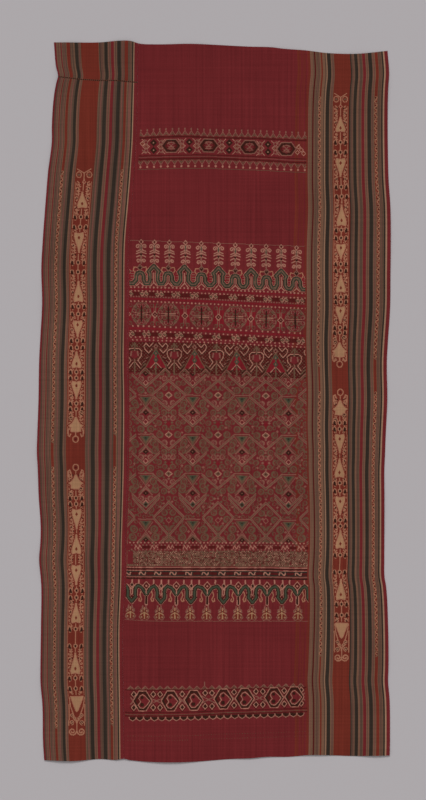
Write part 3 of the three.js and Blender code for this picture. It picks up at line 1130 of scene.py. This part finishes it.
# %% Places in the side bands
LEFT_FIGURES = [
    # what is worked, and its first and last place down the cloth
    ("start", 169, 182), ("up", 192, 208), ("eyes", 217, 227), ("down", 232.5, 252.5),
    ("eyes", 262.5, 272), ("up", 281, 302), ("eyes", 306.5, 314), ("down", 320.5, 337),
    ("eyes", 340.5, 347.5), ("up", 351.5, 368), ("eyes", 372, 378), ("down", 381, 399),
    ("eyes", 403.5, 409), ("curls", 412.5, 418), ("gap bud", 417, 432), ("ring", 434, 442.5),
    ("ring", 472.6, 464.1), ("gap bud", 475, 489), ("curls", 489, 494), ("eyes", 498, 504),
    ("down", 509, 529), ("up", 534.5, 554), ("down", 565, 585), ("eyes", 590.5, 597.5),
    ("up", 603, 623), ("eyes", 629, 646), ("up", 653, 674), ("eyes", 678, 688.5),
    ("end", 696.3, 736),
]
RIGHT_FIGURES = [
    ("start", 93.5, 106), ("up", 117, 132), ("eyes", 142.3, 152.3), ("down", 158.3, 177),
    ("eyes", 187, 196.5), ("up", 205, 226), ("eyes", 230, 238), ("down", 244, 259),
    ("eyes", 264, 270.7), ("up", 275, 292.5), ("eyes", 297, 302), ("down", 306.5, 323.5),
    ("eyes", 327.5, 332.7), ("curls", 337.5, 342), ("gap bud", 342.7, 357.3), ("ring", 359, 368),
    ("ring", 397.5, 388.5), ("gap bud", 400.5, 415.3), ("curls", 415, 420), ("eyes", 422.7, 429),
    ("down", 434, 453), ("up", 458.5, 477.5), ("eyes", 483, 491), ("down", 496.5, 515),
    ("eyes", 520, 526), ("up", 530, 548.5), ("eyes", 555, 572), ("up", 579, 600),
    ("eyes", 604, 615), ("end", 623, 662),
]


def in_narrow(near, far):
    """The middle of a stripe of the narrow length, as a pixel across for a pixel down"""
    def place(y):
        nominal = (y - HEAD_Y) * PX
        left, seam = float(left_at(nominal)), float(seam_at(nominal))
        return mix(left, seam, (near + far) / 2) / PX + MIDDLE_X

    return place


def in_border(near, far):
    """The same for a stripe of the right border"""
    def place(y):
        nominal = (y - HEAD_Y) * PX
        right = float(right_at(nominal)) / PX + MIDDLE_X
        return right - (BORDER_PIXELS - (near + far) / 2) * float(border_swell(nominal))

    return place


print(len(LEFT_FIGURES), "figures on the left and", len(RIGHT_FIGURES), "on the right")

# %% Figures of the side bands
BUDS = {
    # across in pixels, down as a share of the bud's height
    "up": [(0.5, 0), (1.0, 0.2), (2.5, 0.42), (3.9, 0.64), (4.8, 0.84), (4.1, 1.0), (0, 0.94)],
    "gap bud": [(0.6, 0), (2.6, 0.3), (5.0, 0.5), (7.2, 0.58), (4.6, 0.7), (5.0, 0.96), (0, 1.0)],
    "end": [(6.4, 0), (6.0, 0.1), (3.6, 0.52), (1.4, 0.9), (0, 1.0)],
}
BUDS["down"] = [(dx, 1 - share) for dx, share in BUDS["up"]]
BUD_SPOTS = {"up": 0.74, "down": 0.26}
END_BUD = 15.4


def bud(spot, length, kind):
    """A pale bud, some with a spot, set off from the lace by a line of the ground"""
    points = whole([(dx, share * length) for dx, share in BUDS[kind]])
    spot.loop(points, "orange", 2.6)
    spot.fill(points, "gold")
    spot.loop(points, "tan")
    if kind in BUD_SPOTS:
        spot.fill(diamond(0, BUD_SPOTS[kind] * length, 1.3, 2.1), "orange")


def eyes(spot, half):
    """Three dark eyes in a row, each with a ring of thread"""
    for side in spot.halves():
        eye = side.at(half - 2.4, 0)
        oval(eye, 0, 0.6, 1.8, 2.7, "orange")
        eye.line([(-0.9, 2.0), (0, -1.0), (0.6, 1.6)], "dark", 1.6)
        eye.line([(1.6, 1.6), (0.6, 3.6)], "orange", 1.0)
    oval(spot, 0, 0, 1.7, 1.9, "dark", 1.1)


def eye_rows(chart, place, first, last, half):
    ground = box(1 - half, first - 1, half - 1, last + 2)
    chart.at(place((first + last) / 2), 0).fill(ground, "orange")
    chart.line([(place(first), first), (place(last), last)], "tan", 1.1)
    for y in (first, last):
        eyes(chart.at(place(y), y), half)


def start_figure(spot, half):
    """Two arms, a pair of rings and a short stem at the outer end"""
    spot.both([(half - 1.6, 0), (0, 4.0)], "tan")
    for side in spot.halves():
        oval(side, half - 3.2, 5.8, 2.5, 2.9, "orange", 0.9)
        side.dot(half - 3.2, 5.8, "olive", 1.1)
    spot.line([(0, 4), (0, 12)], "tan", 1.1)
    ring(spot, 0, 13, 1.6, 1.8, "bright", "tan", 0.9)


def end_figure(spot, length, half):
    """A flat bud over a net of curls, and two round scrolls at the outer end"""
    bud(spot, END_BUD, "end")
    spot.both([(half - 0.8, 1), (half - 2.0, 10), (2.0, 22), (0, 27)], "tan", 1.1)
    spot.both([(half - 0.4, 8), (half - 0.6, 29)], "tan", 1.0)
    for side in spot.halves():
        for dx, down, radius in ((half - 3.4, 19, 2.3), (half - 3.2, 26, 2.6), (2.4, 22, 1.9)):
            scroll(side, dx, down, radius)
        side.curl(half - 4.0, length - 4.6, 4.0, -1.5, 180, "tan", 1.3)
    spot.line([(0, 24), (0, length - 6)], "tan", 1.1)


def gap_ring(spot, half):
    """The drop and the side curls where the band stops"""
    oval(spot, 0, 5.2, 2.8, 3.2, "orange", 1.1)
    spot.dot(0, 5.2, "maroon", 1.0)
    spot.line([(0, -2), (0, 2)], "tan", 1.3)
    hook = [(-2.2, -6), (-0.8, -3), (-0.9, 1.6), (-2.4, 2.6), (-3.4, 0)]
    spot.both([(half + dx, dy) for dx, dy in hook], "tan", 1.2)


def lace(chart, place, first, last, half):
    """Rails and close curls along both edges of a band, and its stem"""
    stem = [(place(y), y) for y in np.linspace(first, last, 60)]
    for side in (-1, 1):
        chart.at(side * (half - 0.4), 0).line(stem, "tan", 0.5)
        for turn, y in enumerate(np.arange(first + 2, last - 1, 4.7)):
            spot = chart.at(place(y), y, side)
            spot.dot(half - 2.6, 0, "dark" if turn % 2 else "orange", 1.3)
            turned = spot.at(half - 2.4, 0, 1, 1 if turn % 2 else -1)
            turned.curl(0, 0, 2.4, 0.85, 90, "tan", 1.1)
            spot.curl(3.1, 2.2, 1.7, 0.7, -90, "tan", 0.9)
            if turn % 3 == 0:
                spot.dot(3.1, 0, "dark", 0.7)
    chart.line(stem, "tan", 1.1)


print("figures of the side bands ready")


# %% Work the side bands
def side_band(chart, place, figures, half):
    rings = [min(y, end) for kind, y, end in figures if kind == "ring"]
    lace(chart, place, figures[0][1] + 13, rings[0], half)
    lace(chart, place, rings[1] + 9, figures[-1][1], half)
    for kind, first, last in figures:
        spot = chart.at(place((first + last) / 2), first)
        if kind == "eyes":
            eye_rows(chart, place, first, last, half)
        elif kind == "curls":
            for side, down in ((-1, last - first), (1, 0)):
                scroll(spot.at(0, down, side), half - 3.0, 0, 2.8)
        elif kind == "ring":
            gap_ring(spot.at(0, 0, 1, 1 if last > first else -1), half)
        elif kind == "start":
            start_figure(spot, half)
        elif kind == "end":
            end_figure(spot, last - first, half)
        else:
            bud(spot, last - first, kind)


def running_scroll(chart, place, start, gap, end):
    """Small curls of uneven pace, turned left and right, with a dark spot in most"""
    for first, last in ((start, gap[0]), (gap[1], end)):
        turns = first + np.cumsum(rhythm.uniform(2.6, 4.2, int((last - first) / 3.4)))
        for i, y in enumerate(turns):
            side = 1 if i % 2 else -1
            spot = chart.at(place(y) + 0.2 * side, y)
            spot.curl(0, 0, 1.7, 0.8 * side, 100, "tan", 0.8)
            spot.line([(1.2 * side, 1.2), (-1.0 * side, 3.2)], "warp_tan")
            spot.dot(0, 0, ("dark", "orange", "maroon")[i % 3], 0.7)


rhythm = np.random.default_rng(5)
side_band(narrow, in_narrow(0.32, 0.527), LEFT_FIGURES, 8.4)
side_band(broad, in_border(24.4, 40.8), RIGHT_FIGURES, 7.6)
for near, far in ((0.146, 0.187), (0.839, 0.881)):
    running_scroll(narrow, in_narrow(near, far), 168, (439, 465), 728)
for near, far in ((10.1, 13.1), (66.2, 69.9)):
    running_scroll(broad, in_border(near, far), 95, (366, 389), 657)
print("side ornament worked")

# %% [markdown]
# ## Sheets of cloth
# Each length is one thin sheet. A flat grid is made, given thickness by Solidify, and then
# each point is carried to where its threads lie. A face covers a block of five by four chart
# cells and keeps their colours as four numbers, one for each binary digit of the colour.

# %% Carry the chart to the mesh
DIGITS = 4


def block_codes(chart):
    """For each block, a number for each binary digit of its cells' colours"""
    down, across = chart.length.blocks_down, chart.length.blocks_across
    cells = chart.inks.reshape(down, CELLS_DOWN, across, CELLS_ACROSS)
    weights = 2 ** (np.arange(CELLS_ACROSS)[None, :] + CELLS_ACROSS * np.arange(CELLS_DOWN)[:, None])
    codes = []
    for digit in range(DIGITS):
        bits = (cells >> digit) & 1
        codes.append(np.einsum("drac,rc->da", bits, weights) + 0.5)
    return np.stack(codes, axis=-1)


def store_codes(mesh, chart):
    """Give each face the codes of the block of cells that it covers"""
    across, down = chart.length.blocks_across, chart.length.blocks_down
    corners = np.zeros(len(mesh.loops) * 2)
    mesh.uv_layers["Cloth"].data.foreach_get("uv", corners)
    starts = np.array([face.loop_start for face in mesh.polygons])
    sizes = np.array([face.loop_total for face in mesh.polygons])
    middles = np.add.reduceat(corners.reshape(-1, 2), starts, axis=0) / sizes[:, None]
    column = np.clip((middles[:, 0] * across).astype(int), 0, across - 1)
    row = np.clip(((1 - middles[:, 1]) * down).astype(int), 0, down - 1)
    attribute = mesh.attributes.new("chart", "FLOAT_COLOR", "FACE")
    codes = block_codes(chart)[row, column]
    attribute.data.foreach_set("color", codes.astype(np.float32).ravel())


print(len(THREADS), "thread numbers fit in", DIGITS, "digits")


# %% Make a sheet from its grid
def add_object(name, data):
    made = bpy.data.objects.new(name, data)
    bpy.context.collection.objects.link(made)
    return made


def add_mesh(name, bm):
    """An object from a worked mesh, which is then let go"""
    mesh = bpy.data.meshes.new(name)
    bm.to_mesh(mesh)
    bm.free()
    return add_object(name, mesh)


def lay_on_threads(bm, length, pucker):
    """Carry each point of a flat sheet to where its threads lie"""
    flat = np.array([vert.co[:] for vert in bm.verts])
    across, down = length.place(flat[:, 0] + 0.5, 0.5 - flat[:, 1])
    lift = lift_at(across, down) + pucker(across, down)
    height = lift + np.where(flat[:, 2] > -0.5, CLOTH_THICKNESS, 0.0)
    for vert, x, y, z in zip(bm.verts, across, CLOTH_LENGTH / 2 - down, height):
        vert.co = (x * MM, y * MM, z * MM)
    return float(height.max())


def woven_sheet(name, chart, pucker):
    length = chart.length
    bm = bmesh.new()
    bm.loops.layers.uv.new("Cloth")
    bmesh.ops.create_grid(
        bm, x_segments=length.blocks_across, y_segments=length.blocks_down, size=0.5, calc_uvs=True
    )
    bmesh.ops.solidify(bm, geom=bm.faces[:], thickness=1.0)
    for face in bm.faces:
        face.smooth = abs(face.normal.z) > 0.5
    for edge in bm.edges:
        edge.smooth = all(face.smooth for face in edge.link_faces)
    highest = lay_on_threads(bm, length, pucker)
    piece = add_mesh(name, bm)
    store_codes(piece.data, chart)
    print(name, len(piece.data.polygons), "faces, highest", round(highest, 2), "mm")
    return piece


# %% [markdown]
# ## Puckers
# Hand sewing draws the cloth up a little, so small puckers stand along both seams. They are
# shape, not shading: the sheets' points rise by half a millimetre or so near the seams.

# %% Sew in the puckers
SEAM_PUCKER, SEAM_REACH = 0.7, 26.0
HEAD_SEAM_PUCKER, HEAD_SEAM_REACH = 1.1, 22.0


def gathers(along, pace, drift, drift_pace):
    """Uneven waves along a seam, from 0 to 1"""
    return 0.5 + 0.5 * np.sin(along / pace + drift * np.sin(along / drift_pace))


def seam_pucker(across, down):
    """Rise of the cloth near the long seam"""
    away = np.abs(across - seam_at(down))
    return SEAM_PUCKER * gathers(down, 9.5, 1.7, 71.0) * hump(away, SEAM_REACH)


def narrow_pucker(across, down):
    """The same with the rise near the head seam"""
    away = np.abs(down - head_seam_at(across))
    rise = HEAD_SEAM_PUCKER * gathers(across, 6.5, 1.3, 41.0) * hump(away, HEAD_SEAM_REACH)
    return seam_pucker(across, down) + rise


sheets = {
    "broad_length": woven_sheet("broad_length", broad, seam_pucker),
    "narrow_length": woven_sheet("narrow_length", narrow, narrow_pucker),
    "narrow_head": woven_sheet("narrow_head", head_piece, narrow_pucker),
}

# %% [markdown]
# ## The cotton
# The material reads the chart back: which cell of its face a point is in, and that cell's
# colour number. A group does this once for all three sheets. Dyed handspun is never even, so
# a second group gives slub streaks along the warp and the weft, and a third the plain weave.

# %% Colours of the threads
def linear(red, green, blue):
    """A display colour as the linear values that shaders use"""
    values = [v / 255 for v in (red, green, blue)]
    return [v / 12.92 if v <= 0.04045 else ((v + 0.055) / 1.055) ** 2.4 for v in values]


LIGHT_SHARE = 0.72
THREAD_COLOURS = {
    "field": (99, 33, 35), "orange": (101, 40, 30), "warp_tan": (106, 76, 59),
    "warp_grey": (80, 60, 49), "warp_rose": (104, 66, 57), "cream": (140, 108, 86),
    "warp_dark": (46, 38, 32), "maroon": (74, 24, 22), "dark": (50, 27, 20),
    "olive": (92, 68, 52), "green": (58, 62, 48), "dusk": (118, 77, 65),
    "ecru": (150, 102, 86), "tan": (146, 98, 76), "gold": (150, 111, 82),
    "bright": (108, 26, 32),
}


def dyed_colour(display):
    """The colour that looks like a display colour in this light"""
    return [min(v / LIGHT_SHARE, 1.0) for v in linear(*display)] + [1.0]


print("field colour", [round(v, 3) for v in dyed_colour(THREAD_COLOURS["field"])])


# %% Helpers to wire nodes
def new_group(name, inputs, outputs):
    tree = bpy.data.node_groups.new(name, "ShaderNodeTree")
    for socket, default in inputs:
        made = tree.interface.new_socket(socket, in_out="INPUT", socket_type="NodeSocketFloat")
        made.default_value = default
    for socket, kind in outputs:
        tree.interface.new_socket(socket, in_out="OUTPUT", socket_type=kind)
    return tree, tree.nodes.new("NodeGroupInput"), tree.nodes.new("NodeGroupOutput")


def maths(tree, operation, *values):
    node = tree.nodes.new("ShaderNodeMath")
    node.operation = operation
    for socket, value in zip(node.inputs, values):
        if isinstance(value, (int, float)):
            socket.default_value = value
        else:
            tree.links.new(value, socket)
    return node.outputs[0]


def new_material(name, specular):
    material = bpy.data.materials.new(name)
    material.use_nodes = True
    shader = material.node_tree.nodes["Principled BSDF"]
    shader.inputs["Specular IOR Level"].default_value = specular
    return material, material.node_tree, shader


def add_bump(tree, shader, height, strength, distance):
    bump = tree.nodes.new("ShaderNodeBump")
    bump.inputs["Strength"].default_value = strength
    bump.inputs["Distance"].default_value = distance
    tree.links.new(height, bump.inputs["Height"])
    tree.links.new(bump.outputs[0], shader.inputs["Normal"])


print("node helpers ready")

# %% Group that reads the thread chart
FLOAT, COLOUR = "NodeSocketFloat", "NodeSocketColor"
chart_group, chart_in, chart_out = new_group(
    "thread_chart",
    [("Columns", 520.0), ("Rows", 1440.0)],
    [("Thread", FLOAT), ("Wrapped", FLOAT)],
)
codes_node = chart_group.nodes.new("ShaderNodeAttribute")
codes_node.attribute_name = "chart"
cloth_map = chart_group.nodes.new("ShaderNodeUVMap")
cloth_map.uv_map = "Cloth"
split_map = chart_group.nodes.new("ShaderNodeSeparateXYZ")
chart_group.links.new(cloth_map.outputs[0], split_map.inputs[0])
split_codes = chart_group.nodes.new("ShaderNodeSeparateXYZ")
chart_group.links.new(codes_node.outputs["Vector"], split_codes.inputs[0])


def cell_in_block(share, count, block):
    cell = maths(chart_group, "FLOOR", maths(chart_group, "MULTIPLY", share, count))
    return maths(chart_group, "FLOORED_MODULO", cell, float(block))


from_head = maths(chart_group, "SUBTRACT", 1.0, split_map.outputs[1])
cell_across = cell_in_block(split_map.outputs[0], chart_in.outputs["Columns"], CELLS_ACROSS)
cell_down = cell_in_block(from_head, chart_in.outputs["Rows"], CELLS_DOWN)
bit = maths(chart_group, "MULTIPLY_ADD", cell_down, float(CELLS_ACROSS), cell_across)
power = maths(chart_group, "POWER", 2.0, bit)
thread = None
for digit, code in enumerate([*split_codes.outputs, codes_node.outputs["Alpha"]]):
    shifted = maths(chart_group, "FLOOR", maths(chart_group, "DIVIDE", code, power))
    one = maths(chart_group, "FLOORED_MODULO", shifted, 2.0)
    part = maths(chart_group, "MULTIPLY", one, float(2**digit))
    thread = part if thread is None else maths(chart_group, "ADD", thread, part)
chart_group.links.new(thread, chart_out.inputs["Thread"])
last_warp_thread = THREADS.index("warp_dark") + 0.5
wrapped = maths(chart_group, "GREATER_THAN", thread, last_warp_thread)
chart_group.links.new(wrapped, chart_out.inputs["Wrapped"])
print("thread_chart has", len(chart_group.nodes), "nodes")


# %% Group of thread colours
colour_group, colour_in, colour_out = new_group(
    "cotton_colours", [("Thread", 0.0)], [("Color", COLOUR)]
)
ramp = colour_group.nodes.new("ShaderNodeValToRGB")
ramp.color_ramp.interpolation = "CONSTANT"
for number, name in enumerate(THREADS):
    place = number / len(THREADS)
    stop = ramp.color_ramp.elements[0] if number == 0 else ramp.color_ramp.elements.new(place)
    stop.position = place
    stop.color = dyed_colour(THREAD_COLOURS[name])
ramp.color_ramp.elements.remove(ramp.color_ramp.elements[-1])
step = 1 / len(THREADS)
middle_of_stop = maths(colour_group, "MULTIPLY_ADD", colour_in.outputs[0], step, step / 2)
colour_group.links.new(middle_of_stop, ramp.inputs[0])
colour_group.links.new(ramp.outputs[0], colour_out.inputs[0])
print("cotton_colours has", len(ramp.color_ramp.elements), "stops")


# %% Group of slubs and streaks
slub_group, slub_in, slub_out = new_group(
    "thread_slubs",
    [("Seed", 0.0)],
    [("Warp Streaks", FLOAT), ("Weft Streaks", FLOAT), ("Patches", FLOAT), ("Fibres", FLOAT)],
)
here = slub_group.nodes.new("ShaderNodeTexCoord").outputs["Object"]


def streaks(scale, detail, shift=0.0):
    """Noise drawn out along one direction of the cloth"""
    mapping = slub_group.nodes.new("ShaderNodeMapping")
    mapping.inputs["Scale"].default_value = scale
    mapping.inputs["Location"].default_value = (shift, shift * 0.7, 0)
    noise = slub_group.nodes.new("ShaderNodeTexNoise")
    noise.noise_dimensions = "4D"
    noise.inputs["Scale"].default_value = 1.0
    noise.inputs["Detail"].default_value = detail
    slub_group.links.new(here, mapping.inputs["Vector"])
    slub_group.links.new(mapping.outputs[0], noise.inputs["Vector"])
    slub_group.links.new(slub_in.outputs["Seed"], noise.inputs["W"])
    return noise.outputs["Fac"]


slub_group.links.new(streaks((170, 3.2, 1), 3.0), slub_out.inputs["Warp Streaks"])
slub_group.links.new(streaks((3.0, 210, 1), 3.0, shift=4.1), slub_out.inputs["Weft Streaks"])
slub_group.links.new(streaks((6, 5, 1), 3.0, shift=9.3), slub_out.inputs["Patches"])
slub_group.links.new(streaks((420, 300, 1), 2.0, shift=2.7), slub_out.inputs["Fibres"])
print("thread_slubs has", len(slub_group.nodes), "nodes")


# %% Group of the plain weave
weave_group, weave_in, weave_out = new_group(
    "plain_weave", [("Ends a Metre", 760.0), ("Picks a Metre", 560.0)], [("Height", FLOAT)]
)
weave_place = weave_group.nodes.new("ShaderNodeSeparateXYZ")
weave_group.links.new(
    weave_group.nodes.new("ShaderNodeTexCoord").outputs["Object"], weave_place.inputs[0]
)


def thread_wave(axis):
    """Half a wave to each thread that lies side by side along an axis"""
    pace = maths(weave_group, "MULTIPLY", weave_in.outputs[axis], math.pi)
    return maths(weave_group, "SINE", maths(weave_group, "MULTIPLY", weave_place.outputs[axis], pace))


end_wave, pick_wave = thread_wave(0), thread_wave(1)
crossing = maths(weave_group, "MULTIPLY", end_wave, pick_wave)
rib = maths(weave_group, "ABSOLUTE", end_wave)
weave_height = maths(weave_group, "MULTIPLY_ADD", crossing, 0.35, rib)
weave_group.links.new(weave_height, weave_out.inputs[0])
print("plain_weave has", len(weave_group.nodes), "nodes")


# %% Cotton material
def group_node(tree, group, **values):
    node = tree.nodes.new("ShaderNodeGroup")
    node.node_tree = group
    for name, value in values.items():
        node.inputs[name.replace("_", " ")].default_value = value
    return node


def scaled(tree, colour, factor):
    node = tree.nodes.new("ShaderNodeVectorMath")
    node.operation = "SCALE"
    tree.links.new(colour, node.inputs[0])
    tree.links.new(factor, node.inputs["Scale"])
    return node.outputs[0]


def swing(tree, fac, amount):
    """A factor about 1 from a noise about a half"""
    return maths(tree, "MULTIPLY_ADD", maths(tree, "SUBTRACT", fac, 0.5), amount, 1.0)


SHADE_SWINGS = {"Warp Streaks": 0.75, "Weft Streaks": 0.42, "Patches": 0.36, "Fibres": 0.3}
STREAK_RELIEF = {"Warp Streaks": 1.4, "Weft Streaks": 1.2}
WRAPPED_RELIEF = 1.6


def cotton(name, chart, seed):
    """Dyed handspun: the chart's colours, uneven in shade, with wrapped threads raised"""
    material, tree, shader = new_material(name, specular=0.05)
    reader = group_node(tree, chart_group, Columns=float(chart.columns), Rows=float(chart.rows))
    colours = group_node(tree, colour_group)
    tree.links.new(reader.outputs["Thread"], colours.inputs["Thread"])
    slubs = group_node(tree, slub_group, Seed=seed)
    dyed = colours.outputs["Color"]
    for streak, amount in SHADE_SWINGS.items():
        dyed = scaled(tree, dyed, swing(tree, slubs.outputs[streak], amount))
    tree.links.new(dyed, shader.inputs["Base Color"])
    roughness = maths(tree, "MULTIPLY_ADD", slubs.outputs["Fibres"], 0.2, 0.78)
    tree.links.new(roughness, shader.inputs["Roughness"])
    weave = group_node(tree, weave_group)
    height = maths(tree, "MULTIPLY_ADD", reader.outputs["Wrapped"], WRAPPED_RELIEF, weave.outputs[0])
    for streak, relief in STREAK_RELIEF.items():
        height = maths(tree, "MULTIPLY_ADD", slubs.outputs[streak], relief, height)
    add_bump(tree, shader, height, strength=0.5, distance=0.00035)
    return material


sheets["broad_length"].data.materials.append(cotton("red_field_cotton", broad, 1.0))
sheets["narrow_length"].data.materials.append(cotton("striped_cotton", narrow, 4.0))
sheets["narrow_head"].data.materials.append(cotton("striped_head_cotton", head_piece, 7.0))
print("materials:", [m.name for m in bpy.data.materials][-3:])

# %% [markdown]
# ## Stitches
# The lengths are joined selvedge to selvedge with whip stitches: short threads that cross the
# seam aslant. Each is a small spindle laid on the cloth, and there are enough of them to read
# as one drawn seam. The short head seam is sewn closer.

# %% Whip stitches
STITCH_SLANT = math.radians(24)
STITCH_STEP, STITCH_LENGTH = 11.0, 5.4
HEAD_STEP, HEAD_STITCH_LENGTH = 5.6, 6.2
STITCH_RADIUS = 0.42
LONG_SEAM_SPAN, HEAD_SEAM_SPAN = (14.0, 2040.0), (-441.0, -220.0)


def stitch_rise(across, down):
    return float(narrow_pucker(across, down) if across < seam_at(down) else seam_pucker(across, down))


def stitch(bm, across, down, length, slant):
    """One spindle of thread, laid on the cloth over a seam"""
    z = float(lift_at(across, down)) + CLOTH_THICKNESS + stitch_rise(across, down)
    place = Matrix.Translation((across * MM, (CLOTH_LENGTH / 2 - down) * MM, z * MM))
    turn = Matrix.Rotation(slant, 4, "Z")
    size = Matrix.Diagonal((length / 2 * MM, STITCH_RADIUS * MM, STITCH_RADIUS * 0.8 * MM, 1))
    bmesh.ops.create_uvsphere(bm, u_segments=8, v_segments=6, radius=1, matrix=place @ turn @ size)


def sewn_seam(name, spots):
    bm = bmesh.new()
    for spot in spots:
        stitch(bm, *spot)
    for face in bm.faces:
        face.smooth = True
    print(name, "has", len(spots), "stitches")
    return add_mesh(name, bm)


sewing = np.random.default_rng(5)
long_spots = []
for step in np.arange(*LONG_SEAM_SPAN, STITCH_STEP):
    down = step + sewing.uniform(-1.2, 1.2)
    slant = STITCH_SLANT + sewing.uniform(-0.12, 0.12)
    long_spots.append((float(seam_at(down)), down, STITCH_LENGTH, slant))
head_spots = []
for step in np.arange(*HEAD_SEAM_SPAN, HEAD_STEP):
    across = step + sewing.uniform(-0.5, 0.5)
    slant = math.pi / 2 + STITCH_SLANT + sewing.uniform(-0.15, 0.15)
    head_spots.append((across, float(head_seam_at(across)), HEAD_STITCH_LENGTH, slant))
seams = {
    "long_seam_stitches": sewn_seam("long_seam_stitches", long_spots),
    "head_seam_stitches": sewn_seam("head_seam_stitches", head_spots),
}


# %% Sewing thread
RIBS_A_METRE = 900


def sewing_thread(name, colour, seed):
    """Twisted cotton thread: even in colour but for its fibres, ribbed by its twist"""
    material, tree, shader = new_material(name, specular=0.2)
    shader.inputs["Roughness"].default_value = 0.85
    base = tree.nodes.new("ShaderNodeRGB")
    base.outputs[0].default_value = dyed_colour(colour)
    slubs = group_node(tree, slub_group, Seed=seed)
    shade = swing(tree, slubs.outputs["Fibres"], 0.9)
    tree.links.new(scaled(tree, base.outputs[0], shade), shader.inputs["Base Color"])
    twist = tree.nodes.new("ShaderNodeTexWave")
    twist.bands_direction = "DIAGONAL"
    twist.inputs["Scale"].default_value = RIBS_A_METRE
    twist.inputs["Distortion"].default_value = 1.0
    tree.links.new(tree.nodes.new("ShaderNodeTexCoord").outputs["Object"], twist.inputs["Vector"])
    add_bump(tree, shader, twist.outputs["Fac"], strength=0.6, distance=0.00012)
    return material


seams["long_seam_stitches"].data.materials.append(
    sewing_thread("red_sewing_thread", (104, 42, 38), 2.0)
)
seams["head_seam_stitches"].data.materials.append(
    sewing_thread("pale_sewing_thread", (122, 84, 66), 3.0)
)
print("sewing threads ready")

# %% [markdown]
# ## Floor, light and camera
# The cloth lies on a plain pale floor and is seen from straight above. The light is soft and
# comes mostly from the head side, so the lifted foot edge throws a faint shadow.

# %% Floor
FLOOR_COLOUR = (171, 167, 169)
floor_grid = bmesh.new()
bmesh.ops.create_grid(floor_grid, x_segments=2, y_segments=2, size=4.0)
floor = add_mesh("floor", floor_grid)
paper, _, paper_shader = new_material("floor_paper", specular=0.1)
paper_shader.inputs["Roughness"].default_value = 0.9
paper_shader.inputs["Base Color"].default_value = dyed_colour(FLOOR_COLOUR)
floor.data.materials.append(paper)
print("floor laid")

# %% Light
SUN_STRENGTH, SUN_SPREAD = 1.45, math.radians(22)
SUN_TURN = (math.radians(-48), 0, math.radians(8))
SKY_STRENGTH, SKY_COLOUR = 0.42, (1.0, 0.985, 0.99, 1)
sun_data = bpy.data.lights.new("head_side_light", "SUN")
sun_data.energy = SUN_STRENGTH
sun_data.angle = SUN_SPREAD
add_object("head_side_light", sun_data).rotation_euler = SUN_TURN
world = bpy.data.worlds.new("studio")
bpy.context.scene.world = world
world.use_nodes = True
sky = world.node_tree.nodes["Background"]
sky.inputs["Color"].default_value = SKY_COLOUR
sky.inputs["Strength"].default_value = SKY_STRENGTH
bpy.context.scene.view_settings.view_transform = "Standard"
print("light set")

# %% Camera
IMAGE_WIDTH, IMAGE_HEIGHT = 426, 800
LENS, SENSOR = 95.0, 36.0
camera_data = bpy.data.cameras.new("camera")
camera_data.sensor_fit = "VERTICAL"
camera_data.sensor_height = SENSOR
camera_data.lens = LENS
camera_data.clip_end = 50
camera = add_object("camera", camera_data)
camera_height = IMAGE_HEIGHT * PX * MM * LENS / SENSOR
camera.location = (
    (IMAGE_WIDTH / 2 - MIDDLE_X) * PX * MM,
    (CLOTH_LENGTH / 2 - (IMAGE_HEIGHT / 2 - HEAD_Y) * PX) * MM,
    camera_height,
)
bpy.context.scene.camera = camera
print("camera", [round(v, 4) for v in camera.location])

# %% [markdown]
# ## Onto the body
# Every piece rides on the one body, and each sheet takes the place of its solid, which is
# hidden, and prints its area beside the size it was cut to.

CUTS = {
    # piece: node, slot, width and length of the cut
    "broad_length": ("main_panel", "broad_length", (0.758, 2.055)),
    "narrow_length": ("side_panel", "narrow_length", (0.262, 1.95)),
    "narrow_head": ("side_panel_head", "narrow_length", (0.242, 0.118)),
}
for name, (node, slot, flat) in CUTS.items():
    piece = sheets[name]
    area = sum(face.area for face in piece.data.polygons if face.normal.z > 0.5)
    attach(piece, "root")
    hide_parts(node)
    print(name, "covers", round(area, 4), "square metres of", round(flat[0] * flat[1], 4))
for piece in seams.values():
    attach(piece, "root")
